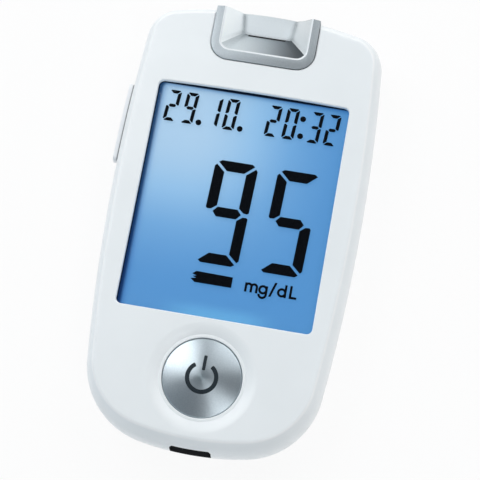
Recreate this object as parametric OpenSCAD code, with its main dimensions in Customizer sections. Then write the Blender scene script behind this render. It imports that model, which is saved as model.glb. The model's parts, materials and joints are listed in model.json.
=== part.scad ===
// Blood glucose meter: a palm-sized meter with a large lit display, one round button on the front,
// a rocker key on the left side, a strip port at the top end and a data socket at the bottom end.
// Millimetres. X runs across the face, Y towards the strip port, Z up out of the display.
// The origin lies under the middle of the body, in the plane of its flat back.

/* [Body] */
// Width across the body at its widest line
body_w = 55.2; // [54.6:0.2:60]
// Length of the white body
body_l = 98.4; // [97.6:0.2:106]
// Height of the front face above the flat back
body_t = 16; // [15.8:0.2:20]
// Depth of the widest line below the front face
belt_drop = 7.6; // [7.2:0.1:8]
// Height of the front cover, from the seam to its face
front_h = 9; // [8.7:0.1:9.3]
// Radius of the gently bowed sides
side_r = 400; // [360:10:800]
// Distance of the widest point from the middle, towards the strip port
widest_y = 9; // [0:1:14]
// Radius of the top end's outline
top_r = 95; // [70:5:200]
// Radius of the bottom end's outline
bottom_r = 62; // [55:1:90]
// Radius of the two corners beside the strip port
top_corner_r = 7.5; // [6.5:0.5:10]
// Radius of the two corners beside the data socket
bottom_corner_r = 17; // [14:0.5:18]

/* [Edges] */
// How far the rounded rim reaches in from the sides
side_reach = 2.1; // [1.6:0.1:3]
// How far the side's rounding drops from the front face
side_drop = 7.2; // [5:0.1:7.4]
// How far the rounded rim reaches in from the top end
top_reach = 2.2; // [1.6:0.1:3.2]
// How far the top end's rounding drops
top_drop = 5; // [4:0.1:6]
// How far the rounded rim reaches in from the bottom end
bottom_reach = 2.9; // [2.2:0.1:4]
// How far the bottom end's rounding drops
bottom_drop = 6.9; // [5:0.1:7.2]
// How far the back rounds in from the widest line to its flat
back_reach = 5.5; // [4:0.1:6]
// Height above the face at which the sides' rounding would end, which sets how crisp its edge is
side_crest = 0.4; // [0.1:0.1:1]
// The same height at the top end
top_crest = 0.4; // [0.1:0.1:1]
// The same height at the bottom end
bottom_crest = 0.9; // [0.1:0.1:1.4]

/* [Walls] */
// Thickness of the covers' side walls
wall_t = 1.5; // [1.2:0.05:1.7]
// Thickness of the front wall over the display window
lip_t = 1; // [0.8:0.05:1.2]
// Thickness of the back wall
floor_t = 1.4; // [1.2:0.05:1.6]

/* [Display] */
// Width of the white frame beside the screen, at the widest line
screen_side = 6.6; // [6.2:0.1:9]
// Distance from the strip port's trim to the screen
screen_to_trim = 6.9; // [6.2:0.1:8]
// Distance from the screen to the dish round the button
screen_to_dish = 0.8; // [0.4:0.1:3]
// Corner radius of the screen opening
screen_r = 1.2; // [0.4:0.1:3]
// How far the screen's upper edge bows out in the middle
screen_bow = 0.35; // [0.05:0.05:0.6]
// Thickness of the clear window
window_t = 0.8; // [0.5:0.05:1]
// Width of the window's glued edge under the lip
window_edge = 1.6; // [1:0.1:1.7]
// Thickness of the liquid crystal glass
lcd_t = 1.6; // [1.2:0.05:1.8]
// Gap between the window and the glass
lcd_gap = 0.3; // [0.2:0.05:0.5]
// Thickness of the light guide
guide_t = 1; // [0.8:0.05:1.2]
// Width of one digit of the reading
value_w = 9.4; // [7:0.1:10]
// Gap between the reading's two digits
value_gap = 4.3; // [3:0.1:6]
// Width of a stroke of the reading
value_stroke = 2.3; // [1.4:0.05:2.6]
// Height of the digits of the date and time
clock_h = 7.1; // [5:0.1:7.6]
// Width of one digit of the date and time
clock_w = 2.7; // [2.4:0.05:3.1]
// Width of a stroke of the date and time
clock_stroke = 0.75; // [0.5:0.05:0.9]

/* [Power button] */
// Radius of the button's cap
button_r = 8.4; // [7:0.05:8.8]
// Width of the shallow dish round the cap
dish_ring = 3.3; // [2.6:0.05:3.5]
// Depth of the dish where it meets the button
dish_depth = 0.8; // [0.4:0.05:0.9]
// Distance from the body's bottom end to the middle of the button
button_inset = 15.6; // [15:0.1:17]
// Rise of the cap's dome from its edge to its crown
dome_h = 1.05; // [0.5:0.05:1.2]
// Gap round the cap
button_gap = 0.15; // [0.12:0.01:0.25]
// Travel of the button
button_travel = 0.5; // [0.3:0.05:0.55]
// Outer radius of the power symbol's ring
symbol_r = 3.5; // [2.6:0.05:4.2]
// Width of the power symbol's strokes
symbol_stroke = 0.9; // [0.6:0.05:1.1]

/* [Side key] */
// Length of the rocker key
key_l = 17.9; // [16:0.1:19]
// Height of the rocker key
key_h = 3.4; // [2.8:0.1:3.5]
// How far the key stands proud of the side
key_proud = 0.85; // [0.6:0.05:1.2]
// Distance of the key's middle from the screen's top edge
key_drop = 9.4; // [9.2:0.1:12]
// Largest tilt of the key each way, in degrees
key_tilt = 2.5; // [1:0.25:3]
// Distance of each side switch from the key's pivot
switch_arm = 6.2; // [5.8:0.1:6.8]
// Radius of the key's pivot pin
key_pin_r = 0.5; // [0.4:0.02:0.55]

/* [Strip port] */
// Half width of the silver trim
trim_w = 23; // [22:0.2:25]
// Length of the trim
trim_l = 13.4; // [13:0.1:14]
// Width of the trim's band at its two sides
trim_band = 1.9; // [1.4:0.05:2.4]
// Width of the trim's band towards the screen
trim_foot = 2.3; // [2:0.05:3]
// Corner radius of the trim's outline
trim_r = 4; // [2.5:0.1:4.6]
// How far the trim stands proud of the body's end
trim_proud = 0.4; // [0.2:0.05:0.6]
// How far the trim stands proud of the front face
trim_rise = 0.15; // [0.05:0.05:0.3]
// Depth of the scoop's floor below the front face
scoop_depth = 5.5; // [4.6:0.1:5.7]
// Width of the scoop's floor
scoop_floor_w = 10.8; // [9.8:0.1:11.6]
// How far each side of the scoop's floor opens out towards the end
scoop_flare = 0.6; // [0:0.05:1]
// Length of the scoop's sloped end wall
scoop_slope = 5.95; // [5:0.05:6.1]
// Width of the test strip slot
strip_slot_w = 8.4; // [6.5:0.1:8.6]
// Height of the test strip slot
strip_slot_h = 0.65; // [0.6:0.05:1]

/* [Data socket] */
// Width of the socket's metal shell
socket_w = 7.7; // [7.2:0.1:8]
// Height of the socket's metal shell
socket_h = 3.8; // [3.4:0.05:3.9]
// Length of the socket's metal shell
socket_l = 9; // [8:0.1:9.4]
// Width of the opening in the cover at its top edge
port_w = 8.8; // [8.6:0.1:9.2]

/* [Power and board] */
// Radius of a coin cell
cell_r = 10; // [8:0.1:10.2]
// Thickness of a coin cell
cell_t = 3.2; // [2.5:0.05:3.3]
// Thickness of the battery door
door_t = 1.2; // [1:0.05:1.3]
// Depth of the door's face below the back's flat face
door_sink = 0.2; // [0.1:0.05:0.3]
// Opening angle of the battery door, in degrees
door_angle = 75; // [40:5:85]
// Gap round the battery door
door_gap = 0.2; // [0.15:0.01:0.3]
// Thickness of the main board
board_t = 1; // [0.8:0.05:1.1]
// Radius of the screw shanks
screw_r = 0.9; // [0.7:0.02:1]

/* [Hidden] */
$fn = 72;
eps = 0.01;
fit = 0.1;          // slack round a piece that drops into a pocket
slip = 0.06;        // radial clearance of a turning pin
far = 80;           // reaches past the body from its middle

// Body, ends and wall levels
top_y = (body_l - trim_proud) / 2;
bottom_y = -(body_l + trim_proud) / 2;
inner_turn = 0.7;                       // the inner skin turns in by this share of the outer one
side_mid_x = body_w / 2 - side_r;
under_lip_z = body_t - lip_t;
belt_z = body_t - belt_drop;
split_z = body_t - front_h;

// Places along the face, from the two ends towards the screen
trim_y = top_y + trim_proud - trim_l;
button_y = bottom_y + button_inset;
dish_r = button_r + dish_ring;
screen_top_y = trim_y - screen_to_trim;
screen_bottom_y = button_y + dish_r + screen_to_dish;
screen_l = screen_top_y - screen_bottom_y;
screen_y = (screen_top_y + screen_bottom_y) / 2;
screen_w = body_w - 2 * screen_side;
key_y = screen_top_y - key_drop;

// Display stack, from the lip down
window_z = under_lip_z - window_t;
lcd_top_z = window_z - lcd_gap;
lcd_z = lcd_top_z - lcd_t;
ink_t = 0.06;
glass_edge = 1.4;                       // glass beyond the screen opening at its sides and top
ledge_l = 2;                            // glass beyond the opening at its contact end
lcd_w = screen_w + 2 * glass_edge;
lcd_top_y = screen_top_y + glass_edge;
lcd_bottom_y = screen_bottom_y - ledge_l;
guide_z = lcd_z - fit - guide_t;
flex_t = 0.2;
flex_z = guide_z - flex_t;
shelf_t = 0.7;
shelf_z = flex_z - shelf_t;
guide_bottom_y = screen_bottom_y - 0.3;
guide_top_y = screen_top_y - 0.2;
guide_w = screen_w + 0.8;
led_l = 1;
holder_wall = 0.8;
holder_w = lcd_w + 2 * fit + 2 * holder_wall;
holder_top_y = lcd_top_y + fit + holder_wall;
holder_bottom_y = lcd_bottom_y - fit - holder_wall;
zebra_t = 1.2;
zebra_y = lcd_bottom_y + zebra_t / 2 + 0.1;

// Battery bay from the back up, and main board from the display down
cell_z = door_sink + door_t + fit;
contact_gap = 0.8;
bay_roof_z = cell_z + cell_t + contact_gap;
bay_roof_t = 0.8;
part_room = 1.4;                        // between the board and the holder's shelf
board_top_z = shelf_z - part_room;
board_z = board_top_z - board_t;
board_inset = wall_t + 1.9;
cell_pitch = 2 * cell_r + 1.2;
bay_y = -4;
pocket_r = cell_r + 0.25;
door_w = 2 * pocket_r + 2.4;
door_bottom_y = bay_y - cell_pitch / 2 - pocket_r - 1.4;
barrel_r = door_t;
hinge_z = door_sink + barrel_r;
hinge_y = bay_y + cell_pitch / 2 + pocket_r + barrel_r + 0.4;
hinge_pin_r = door_t / 2;
hinge_pin_l = 1;
bay_wall = 1.4;
bay_w = door_w + 2 * door_gap + 2 * bay_wall;
bay_top_y = hinge_y + barrel_r + door_gap + bay_wall;
bay_bottom_y = door_bottom_y - door_gap - bay_wall;
tail_w = 1.4;
leaf_t = 0.2;

// Parts on the board
chip_w = 4;
chip_l = 5;
chip_h = 1.1;
mcu_w = 2 * chip_w;
mcu_l = 2 * chip_l;
chip_x = holder_w / 2 - 10.3;
chip_end = 12.5;
leg_l = 0.6;
leg_t = 0.3;
mcu_legs = 8;
chip_legs = 4;
passive_l = 1;
crystal_w = 3.2;
buzzer_w = 8.5;
buzzer_h = 3;
buzzer_drop = 2;                        // its middle lies this far below the upper screws

// Screws and their bosses
screw_x_top = body_w / 2 - 9.1;
screw_y_top = top_y - 12;
screw_x_bottom = body_w / 2 - 11.6;
screw_y_bottom = bottom_y + 13.4;
boss_r = 2.6;
back_boss_r = 3.2;
head_r = 1.8;
head_h = 1.1;
head_sink = 0.4;
thread_l = 5;
cross_w = 2.2;
cross_t = 0.4;
cross_depth = 0.6;
screw_places = [
    [screw_x_top, screw_y_top], [-screw_x_top, screw_y_top],
    [screw_x_bottom, screw_y_bottom], [-screw_x_bottom, screw_y_bottom]
];

// Power button
dome_sphere_r = (button_r * button_r + dome_h * dome_h) / (2 * dome_h);
collar_r = button_r + button_gap + 1.55;
collar_z = under_lip_z - 0.95;
flange_r = button_r + 0.85;
flange_t = 0.5;
flange_top_z = collar_z - fit;
flange_z = flange_top_z - flange_t;
switch_side = 6.2;
switch_h = 2.6;
plunger_r = 1.6;
plunger_top_z = board_top_z + switch_h + 0.8;
symbol_floor_z = body_t - dome_h;

// Side key
key_z = board_top_z + 0.8;
key_gap_y = 0.3;
key_gap_z = 0.2;
pivot_x = -(side_at(key_y) - wall_t - 1.35);
lug_r = 0.95;
tip_x = pivot_x + 0.05;
plunger_h = 0.7;
plunger_z = board_top_z + 0.3;
side_switch_w = 3.6;
side_switch_l = 2.8;
side_switch_h = min(1.35, shelf_z - board_top_z - 0.05);
side_switch_x = tip_x + 0.75;
plunger_x = tip_x + 0.04;

// Strip port
scoop_y = trim_y + trim_foot;
scoop_z = body_t - scoop_depth;
foot_y = scoop_y + scoop_slope;
scoop_w = trim_w - 2 * trim_band;
scoop_side_run = (scoop_w - scoop_floor_w) / 2;
trim_z = board_top_z + 0.5;
trim_bevel = 0.35;
trim_lean = 0.9;                        // the end face leans in by this from its foot to its top
strip_h = 3.5;
strip_w = 11;
strip_mouth_y = trim_y + 4.1;
strip_back_y = holder_top_y + 0.5;
strip_channel_z = scoop_z + 0.1;

// Data socket
socket_mouth_y = bottom_y + 1.6;
socket_wall = 0.3;
port_low_z = board_top_z - 0.5;
port_high_z = board_top_z + socket_h + 0.3;
port_chamfer = 0.9;

// ---------------------------------------------------------------- outline and shells

// Half width of the body at its widest line, at a distance y along it
function side_at(y) = side_mid_x + sqrt(side_r * side_r - (y - widest_y) * (y - widest_y));

// How far an elliptical rounding has turned in after the share u of its height
function turned_in(u) = 1 - sqrt(1 - u * u);

// Inset of the rim at a depth below the face, which cuts its rounding off a crest's height early
function rim(depth, reach, drop, crest) =
    let (u = max(0, min(drop, drop - depth)) / (drop + crest))
    reach * turned_in(u) / turned_in(drop / (drop + crest));

// The meeting point of two circles that lies further along Y, or further back where way is -1
function meet(a, ra, b, rb, way) =
    let (
        v = b - a,
        d = norm(v),
        m = (ra * ra - rb * rb + d * d) / (2 * d),
        h = sqrt(max(0, ra * ra - m * m)),
        u = v / d,
        p = a + m * u,
        q = [p[0] - h * u[1], p[1] + h * u[0]],
        s = [p[0] + h * u[1], p[1] - h * u[0]]
    )
    q[1] * way > s[1] * way ? q : s;

function bearing(from, to) = atan2(to[1] - from[1], to[0] - from[0]);

function arc(mid, r, a, b, steps) =
    [for (i = [0 : steps - 1]) mid + r * [cos(a + (b - a) * i / steps), sin(a + (b - a) * i / steps)]];

// Outline of the body in plan, with its own inset at the sides, the top end and the bottom end:
// five arcs that run on into each other, down the right side and mirrored to the left
function half_outline(side, top, bottom) =
    let (
        side_mid = [side_mid_x, widest_y],
        top_mid = [0, top_y - top_r],
        bottom_mid = [0, bottom_y + bottom_r],
        rs = side_r - side,
        rt = top_r - top,
        rb = bottom_r - bottom,
        ct = max(1, top_corner_r - (side + top) / 2),
        cb = max(1, bottom_corner_r - (side + bottom) / 2),
        kt = meet(side_mid, rs - ct, top_mid, rt - ct, 1),
        kb = meet(side_mid, rs - cb, bottom_mid, rb - cb, -1),
        a1 = bearing(top_mid, kt),
        a2 = bearing(side_mid, kt),
        a3 = bearing(side_mid, kb),
        a4 = bearing(bottom_mid, kb)
    )
    concat(
        arc(top_mid, rt, 90, a1, 4),
        arc(kt, ct, a1, a2, 6),
        arc(side_mid, rs, a2, a3, 12),
        arc(kb, cb, a3, a4, 8),
        arc(bottom_mid, rb, a4, -90, 5),
        [bottom_mid + [0, -rb]]
    );

function outline(side, top, bottom) =
    let (half = half_outline(side, top, bottom), n = len(half))
    concat(half, [for (i = [n - 2 : -1 : 1]) [-half[i][0], half[i][1]]]);

// Outline of the outer skin at a height, drawn in by the rounding there and by a wall
function skin(z, wall = 0, drop = 0, turn = 1) =
    let (
        depth = body_t - z - drop,
        low = wall + rim(z, back_reach, belt_z, 0)
    )
    z >= belt_z
        ? outline(
            wall + turn * rim(depth, side_reach, side_drop, side_crest),
            wall + turn * rim(depth, top_reach, top_drop, top_crest),
            wall + turn * rim(depth, bottom_reach, bottom_drop, bottom_crest)
        )
        : outline(low, low, low);

// A closed solid through outlines that lie one above another, lowest first
module loft(levels, plans) {
    n = len(plans[0]);
    m = len(levels);
    points = [for (k = [0 : m - 1]) for (p = plans[k]) [p[0], p[1], levels[k]]];
    sides = [
        for (k = [0 : m - 2]) for (i = [0 : n - 1])
            let (j = (i + 1) % n, a = k * n + i, b = k * n + j, c = b + n, d = a + n)
            each [[a, b, c], [a, c, d]]
    ];
    polyhedron(
        points = points,
        faces = concat([[for (i = [n - 1 : -1 : 0]) i]], sides, [[for (i = [0 : n - 1]) (m - 1) * n + i]])
    );
}

// Heights of the front cover's outlines, closer together where the rim turns
front_depths = [body_t - split_z, body_t - belt_z, 5.4, 3.8, 2.6, 1.6, 0.8, 0];
front_levels = [for (d = front_depths) body_t - d];
inner_depths = [6, 4, 2.4, 1.1, 0];
inner_levels = concat([split_z, belt_z], [for (d = inner_depths) under_lip_z - d]);
back_shares = [0, 0.02, 0.07, 0.16, 0.3, 0.5, 0.75, 1];
back_levels = [for (s = back_shares) split_z * s];
back_inner_levels = [for (s = [0, 0.08, 0.25, 0.55, 1]) floor_t + (split_z - floor_t) * s];

module front_solid() {
    loft(front_levels, [for (z = front_levels) skin(z)]);
}

module front_hollow() {
    levels = concat([split_z - 1], inner_levels);
    plans = [
        for (z = levels) z < belt_z ? skin(max(z, split_z), wall_t) : skin(z, wall_t, lip_t, inner_turn)
    ];
    loft(levels, plans);
}

module back_solid() {
    loft(back_levels, [for (z = back_levels) skin(z)]);
}

module back_hollow() {
    loft(
        concat(back_inner_levels, [split_z + 1]),
        concat(
            [for (z = back_inner_levels) skin(max(0, z - floor_t), wall_t)],
            [skin(split_z - floor_t, wall_t)]
        )
    );
}

// ---------------------------------------------------------------- small shapes

module rounded(w, l, r) {
    square([w - 2 * r, l], center = true);
    square([w, l - 2 * r], center = true);
    for (x = [-1, 1])
        for (y = [-1, 1])
            translate([x * (w / 2 - r), y * (l / 2 - r)])
                circle(r = r);
}

// A block between two corners
module block(low, high) {
    translate(low)
        cube(high - low);
}

module rod(r, z0, z1) {
    translate([0, 0, z0])
        cylinder(r = r, h = z1 - z0);
}

// A plan drawn in Y and Z and run along X
module along_x(x0, x1) {
    translate([x0, 0, 0])
        rotate([90, 0, 90])
            linear_extrude(height = x1 - x0)
                children();
}

// ---------------------------------------------------------------- covers

module screw_bosses_front() {
    for (p = screw_places)
        translate([p[0], p[1], 0])
            rod(boss_r, split_z, under_lip_z + eps);
}

module scoop_cut_out() {
    translate([0, trim_y + (far - trim_y) / 2, trim_z - fit / 2])
        linear_extrude(height = far)
            rounded(trim_w + 2 * fit, far - trim_y + 2 * fit, trim_r);
}

module key_opening() {
    along_x(-far, -(side_at(key_y) - wall_t - 1))
        translate([key_y, key_z])
            rounded(key_l + 2 * key_gap_y, key_h + 2 * key_gap_z, 1.2);
}

module port_opening() {
    translate([0, bottom_y + 4.5, 0])
        rotate([90, 0, 0])
            linear_extrude(height = 8)
                polygon([
                    [-port_w / 2, port_low_z],
                    [port_w / 2, port_low_z],
                    [port_w / 2, port_high_z - port_chamfer],
                    [(port_w - port_chamfer) / 2, port_high_z],
                    [(port_chamfer - port_w) / 2, port_high_z],
                    [-port_w / 2, port_high_z - port_chamfer]
                ]);
}

// Shallow dish with a rounded profile, and the button's hole through it
module button_recess() {
    dish_ball_r = (dish_r * dish_r + dish_drop() * dish_drop()) / (2 * dish_drop());
    translate([0, button_y, body_t + dish_ball_r - dish_drop()])
        sphere(r = dish_ball_r, $fn = 180);
    translate([0, button_y, 0])
        rod(button_r + button_gap, collar_z - 1, far);
}

// Depth of the dish's sphere at its middle, from the depth wanted at the button's edge
function dish_drop() = dish_depth * dish_r * dish_r / (dish_r * dish_r - button_r * button_r);

// Plan of the screen opening, whose upper edge is a low arc of a large circle
module screen_plan() {
    half = screen_w / 2 - screen_r;
    bow_r = (half * half + screen_bow * screen_bow) / (2 * screen_bow);
    rounded(screen_w, screen_l, screen_r);
    intersection() {
        translate([0, screen_l / 2 + screen_bow - bow_r])
            circle(r = bow_r, $fn = 720);
        translate([-half, screen_l / 2 - screen_r])
            square([2 * half, 2 * screen_r]);
    }
}

module pivot_lugs() {
    pin_x = pivot_x;
    for (span = [[split_z + eps, key_z - key_h / 2 - key_gap_z + 0.05],
                 [key_z + key_h / 2 + key_gap_z - 0.05, key_z + key_h / 2 + 1.5]])
        difference() {
            union() {
                translate([pin_x, key_y, 0])
                    rod(lug_r, span[0], span[1]);
                block([pin_x - 2.6, key_y - lug_r, span[0]], [pin_x, key_y + lug_r, span[1]]);
            }
            translate([pin_x, key_y, 0])
                rod(key_pin_r + 0.02, 0, far);
        }
}

module front_cover() {
    color("whitesmoke")
    difference() {
        union() {
            difference() {
                front_solid();
                front_hollow();
            }
            intersection() {
                front_solid();
                union() {
                    screw_bosses_front();
                    pivot_lugs();
                    translate([0, button_y, 0])
                        rod(collar_r, collar_z, under_lip_z + eps);
                }
            }
        }
        translate([0, screen_y, split_z])
            linear_extrude(height = far)
                screen_plan();
        button_recess();
        scoop_cut_out();
        key_opening();
        port_opening();
        side_notch();
        for (p = screw_places)
            translate([p[0], p[1], 0])
                rod(screw_r + 0.02, 0, split_z + thread_l + 1);
    }
}

// Small notch in the seam near the top right corner
module side_notch() {
    notch_y = top_y - 6.6;
    notch_l = 1.6;
    block([side_at(notch_y) - 1.1, notch_y - notch_l / 2, split_z - 0.5],
          [far, notch_y + notch_l / 2, split_z + 2]);
}

module bay_block() {
    block([-bay_w / 2, bay_bottom_y, floor_t - eps], [bay_w / 2, bay_top_y, bay_roof_z + bay_roof_t]);
}

module cell_pockets() {
    for (s = [-1, 1])
        translate([0, bay_y + s * cell_pitch / 2, 0]) {
            rod(pocket_r, -1, bay_roof_z);
            block([pocket_r - 1, -1.6, -1], [pocket_r + 0.9, 1.6, bay_roof_z]);
            block([-tail_w / 2 - 0.2, -5.3, 0], [tail_w / 2 + 0.2, -4.3, far]);
            block([pocket_r + 0.1, -tail_w / 2 - 0.2, 0], [pocket_r + 0.8, tail_w / 2 + 0.2, far]);
        }
    block([-pocket_r + 4, bay_y - cell_pitch / 2, -1], [pocket_r - 4, bay_y + cell_pitch / 2, bay_roof_z]);
}

module door_opening() {
    block([-door_w / 2 - door_gap, door_bottom_y - door_gap, -1],
          [door_w / 2 + door_gap, hinge_y + barrel_r + door_gap, door_sink + door_t + 0.05]);
    block([-door_w / 2 - door_gap, hinge_y - barrel_r - door_gap, -1],
          [door_w / 2 + door_gap, hinge_y + barrel_r + door_gap, hinge_z + barrel_r + door_gap]);
    translate([0, hinge_y, hinge_z])
        rotate([0, 90, 0])
            cylinder(r = hinge_pin_r + slip, h = door_w + 2 * hinge_pin_l + 2 * fit, center = true);
    // finger notch at the door's free end
    translate([0, door_bottom_y - door_gap, -1])
        cylinder(r = 4, h = 1 + door_sink + door_t * 0.6);
}

module back_cover() {
    color("whitesmoke")
    difference() {
        union() {
            difference() {
                back_solid();
                back_hollow();
            }
            bay_block();
            for (p = screw_places)
                translate([p[0], p[1], 0])
                    rod(back_boss_r, floor_t - eps, split_z);
            board_pegs();
        }
        cell_pockets();
        door_opening();
        side_notch();
        for (p = screw_places)
            translate([p[0], p[1], 0]) {
                rod(head_r + 0.2, -1, head_sink + head_h);
                rod(screw_r + 0.2, -1, far);
            }
    }
}

// Pegs at the bay's corners that carry the board
module board_pegs() {
    peg_r = 1.2;
    for (x = [-1, 1])
        for (y = [bay_bottom_y + peg_r + 0.2, bay_top_y - peg_r - 0.2])
            translate([x * (bay_w / 2 - peg_r - 0.2), y, 0])
                rod(peg_r, bay_roof_z, board_z);
}

module battery_door() {
    color("whitesmoke")
    union() {
        block([-door_w / 2, door_bottom_y, door_sink], [door_w / 2, hinge_y, door_sink + door_t]);
        translate([0, hinge_y, hinge_z])
            rotate([0, 90, 0]) {
                cylinder(r = barrel_r, h = door_w, center = true);
                cylinder(r = hinge_pin_r, h = door_w + 2 * hinge_pin_l, center = true);
            }
        for (i = [0 : 4])
            block([-4 + i * 2 - 0.25, door_bottom_y + 2.5, door_sink - 0.12],
                  [-4 + i * 2 + 0.25, door_bottom_y + 7.5, door_sink + eps]);
    }
}

// ---------------------------------------------------------------- strip port

// Plan of a block open towards +Y, with its two corners at the other end rounded
function u_plan(x, y0, y1, r, steps) =
    concat(
        [[x, y1]],
        [for (i = [0 : steps]) [x - r + r * cos(90 * i / steps), y0 + r - r * sin(90 * i / steps)]],
        [for (i = [0 : steps]) [-x + r - r * sin(90 * i / steps), y0 + r - r * cos(90 * i / steps)]],
        [[-x, y1]]
    );

// A plan that opens out by the flare from a line y0 to a line y1
function flared(plan, y0, y1) =
    [for (p = plan) [p[0] + sign(p[0]) * scoop_flare * max(0, p[1] - y0) / (y1 - y0), p[1]]];

module strip_port_trim() {
    end_y = top_y + trim_proud;
    past_y = end_y + 4;
    top_z = body_t + trim_rise;
    x = trim_w / 2;
    color("silver")
    difference() {
        intersection() {
            loft(
                [trim_z, top_z - trim_bevel, top_z],
                [
                    u_plan(x, trim_y, past_y, trim_r, 8), u_plan(x, trim_y, past_y, trim_r, 8),
                    u_plan(x - trim_bevel, trim_y + trim_bevel, past_y, trim_r - trim_bevel, 8)
                ]
            );
            loft(
                [trim_z - 1, trim_z, top_z + 1],
                [for (lean = [0, 0, trim_lean]) outline(0, lean - trim_proud, 0)]
            );
        }
        // the scoop
        loft(
            [scoop_z, top_z + 0.5],
            [
                flared(u_plan(scoop_floor_w / 2, foot_y, past_y + 1, 0.3, 6), foot_y, end_y),
                u_plan(
                    scoop_w / 2 + 0.5 * scoop_side_run / scoop_depth,
                    scoop_y - 0.5 * scoop_slope / scoop_depth,
                    past_y + 1, 2.4, 6
                )
            ]
        );
        // hollow for the connector under the band and the slope
        block([-strip_w / 2 - 0.6, trim_y - 1, trim_z - 1],
              [strip_w / 2 + 0.6, strip_mouth_y + 0.2, board_top_z + strip_h + 0.15]);
        block([-strip_slot_w / 2, trim_y + 2, scoop_z + 0.05],
              [strip_slot_w / 2, foot_y + 1, scoop_z + 0.05 + strip_slot_h]);
        for (s = [-1, 1])
            block([s * (x - 2.4) - 1.5, trim_y + 3.5, trim_z - 1],
                  [s * (x - 2.4) + 1.5, end_y - 3, trim_z + 1.6]);
    }
}

module strip_connector() {
    color("ivory")
    difference() {
        union() {
            block([-strip_w / 2, strip_back_y, board_top_z],
                  [strip_w / 2, strip_mouth_y, board_top_z + strip_h]);
        }
        block([-strip_slot_w / 2, strip_back_y + 1, strip_channel_z],
              [strip_slot_w / 2, strip_mouth_y + 1, strip_channel_z + strip_slot_h - 0.1]);
        for (x = [-2.55, -0.85, 0.85, 2.55])
            block([x - 0.4, strip_back_y + 1.6, board_top_z + strip_h - 1.4],
                  [x + 0.4, strip_mouth_y - 1, board_top_z + strip_h + 1]);
    }
}

module strip_contacts() {
    z_top = board_top_z + strip_h;
    low = strip_channel_z + strip_slot_h - 0.4;
    color("gold")
    for (x = [-2.55, -0.85, 0.85, 2.55])
        along_x(x - 0.3, x + 0.3)
            polygon([
                [strip_back_y + 1.6, z_top - 0.2], [strip_back_y + 1.6, z_top],
                [strip_back_y + 3.2, z_top], [strip_mouth_y - 3, low + 0.2],
                [strip_mouth_y - 1.6, low + 0.9], [strip_mouth_y - 1.4, low + 0.75],
                [strip_mouth_y - 2.9, low], [strip_back_y + 3.1, z_top - 0.2]
            ]);
}

// ---------------------------------------------------------------- power button

module dome(grow) {
    translate([0, button_y, body_t - dome_sphere_r])
        sphere(r = dome_sphere_r + grow, $fn = 180);
}

module symbol_plan(grow) {
    ring_r = symbol_r + grow;
    core_r = symbol_r - symbol_stroke - grow;
    gap_angle = 38 - grow * 20;
    difference() {
        circle(r = ring_r);
        circle(r = core_r);
        polygon([
            [0, 0], [far * sin(gap_angle), far * cos(gap_angle)],
            [-far * sin(gap_angle), far * cos(gap_angle)]
        ]);
    }
    translate([-symbol_stroke / 2 - grow, symbol_r * 0.54 - grow])
        square([symbol_stroke + 2 * grow, symbol_r * 0.8 + 2 * grow]);
}

module power_button() {
    color("silver")
    difference() {
        union() {
            intersection() {
                dome(0);
                translate([0, button_y, 0])
                    rod(button_r, flange_z, far);
            }
            translate([0, button_y, 0]) {
                rod(flange_r, flange_z, flange_top_z);
                rod(plunger_r + 0.2, plunger_top_z, flange_z + eps);
            }
        }
        translate([0, button_y, symbol_floor_z])
            linear_extrude(height = 4)
                symbol_plan(0.02);
    }
}

module power_symbol() {
    color("darkslategray")
    intersection() {
        dome(0.03);
        translate([0, button_y, symbol_floor_z])
            linear_extrude(height = 4)
                symbol_plan(0);
    }
}

module power_switch_housing() {
    color("dimgray")
    difference() {
        translate([0, button_y, board_top_z + switch_h / 2])
            cube([switch_side, switch_side, switch_h], center = true);
        translate([0, button_y, 0])
            rod(plunger_r + slip, board_top_z + 0.9, far);
    }
}

module power_switch_plunger() {
    color("black")
    translate([0, button_y, 0])
        rod(plunger_r, board_top_z + 0.9 + button_travel + 0.1, plunger_top_z);
}

// ---------------------------------------------------------------- side key

module key_band(outer, inner) {
    intersection() {
        translate([-side_mid_x, widest_y, 0])
            difference() {
                rod_at(side_r + outer);
                rod_at(side_r - inner);
            }
        along_x(-far, 0)
            translate([key_y, key_z])
                rounded(key_l, key_h, 1);
    }
}

module rod_at(r) {
    translate([0, 0, key_z - key_h])
        cylinder(r = r, h = 2 * key_h, $fn = 720);
}

module side_key() {
    inner_x = -(side_at(key_y) - wall_t - 0.3);
    color("lightgray")
    difference() {
        union() {
            key_band(key_proud, wall_t);
            // web from the key to its pivot
            block([inner_x - 0.6, key_y - 2.2, key_z - key_h / 2],
                  [pivot_x, key_y + 2.2, key_z + key_h / 2]);
            translate([pivot_x, key_y, 0])
                rod(lug_r, key_z - key_h / 2, key_z + key_h / 2);
            for (s = [-1, 1])
                block([inner_x - 0.6, key_y + s * switch_arm - 0.7, plunger_z],
                      [tip_x, key_y + s * switch_arm + 0.7, plunger_z + plunger_h]);
        }
        translate([pivot_x, key_y, 0])
            rod(key_pin_r + slip, 0, far);
    }
}

module side_key_pin() {
    color("lightsteelblue")
    translate([pivot_x, key_y, 0])
        rod(key_pin_r, split_z + 0.05, key_z + key_h / 2 + 1.4);
}

module side_switch_plunger(s) {
    block([plunger_x, key_y + s * switch_arm - 0.6, plunger_z],
          [side_switch_x + 1, key_y + s * switch_arm + 0.6, plunger_z + plunger_h]);
}

module side_switch_plunger_upper() {
    color("black")
    side_switch_plunger(1);
}

module side_switch_plunger_lower() {
    color("black")
    side_switch_plunger(-1);
}

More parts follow.
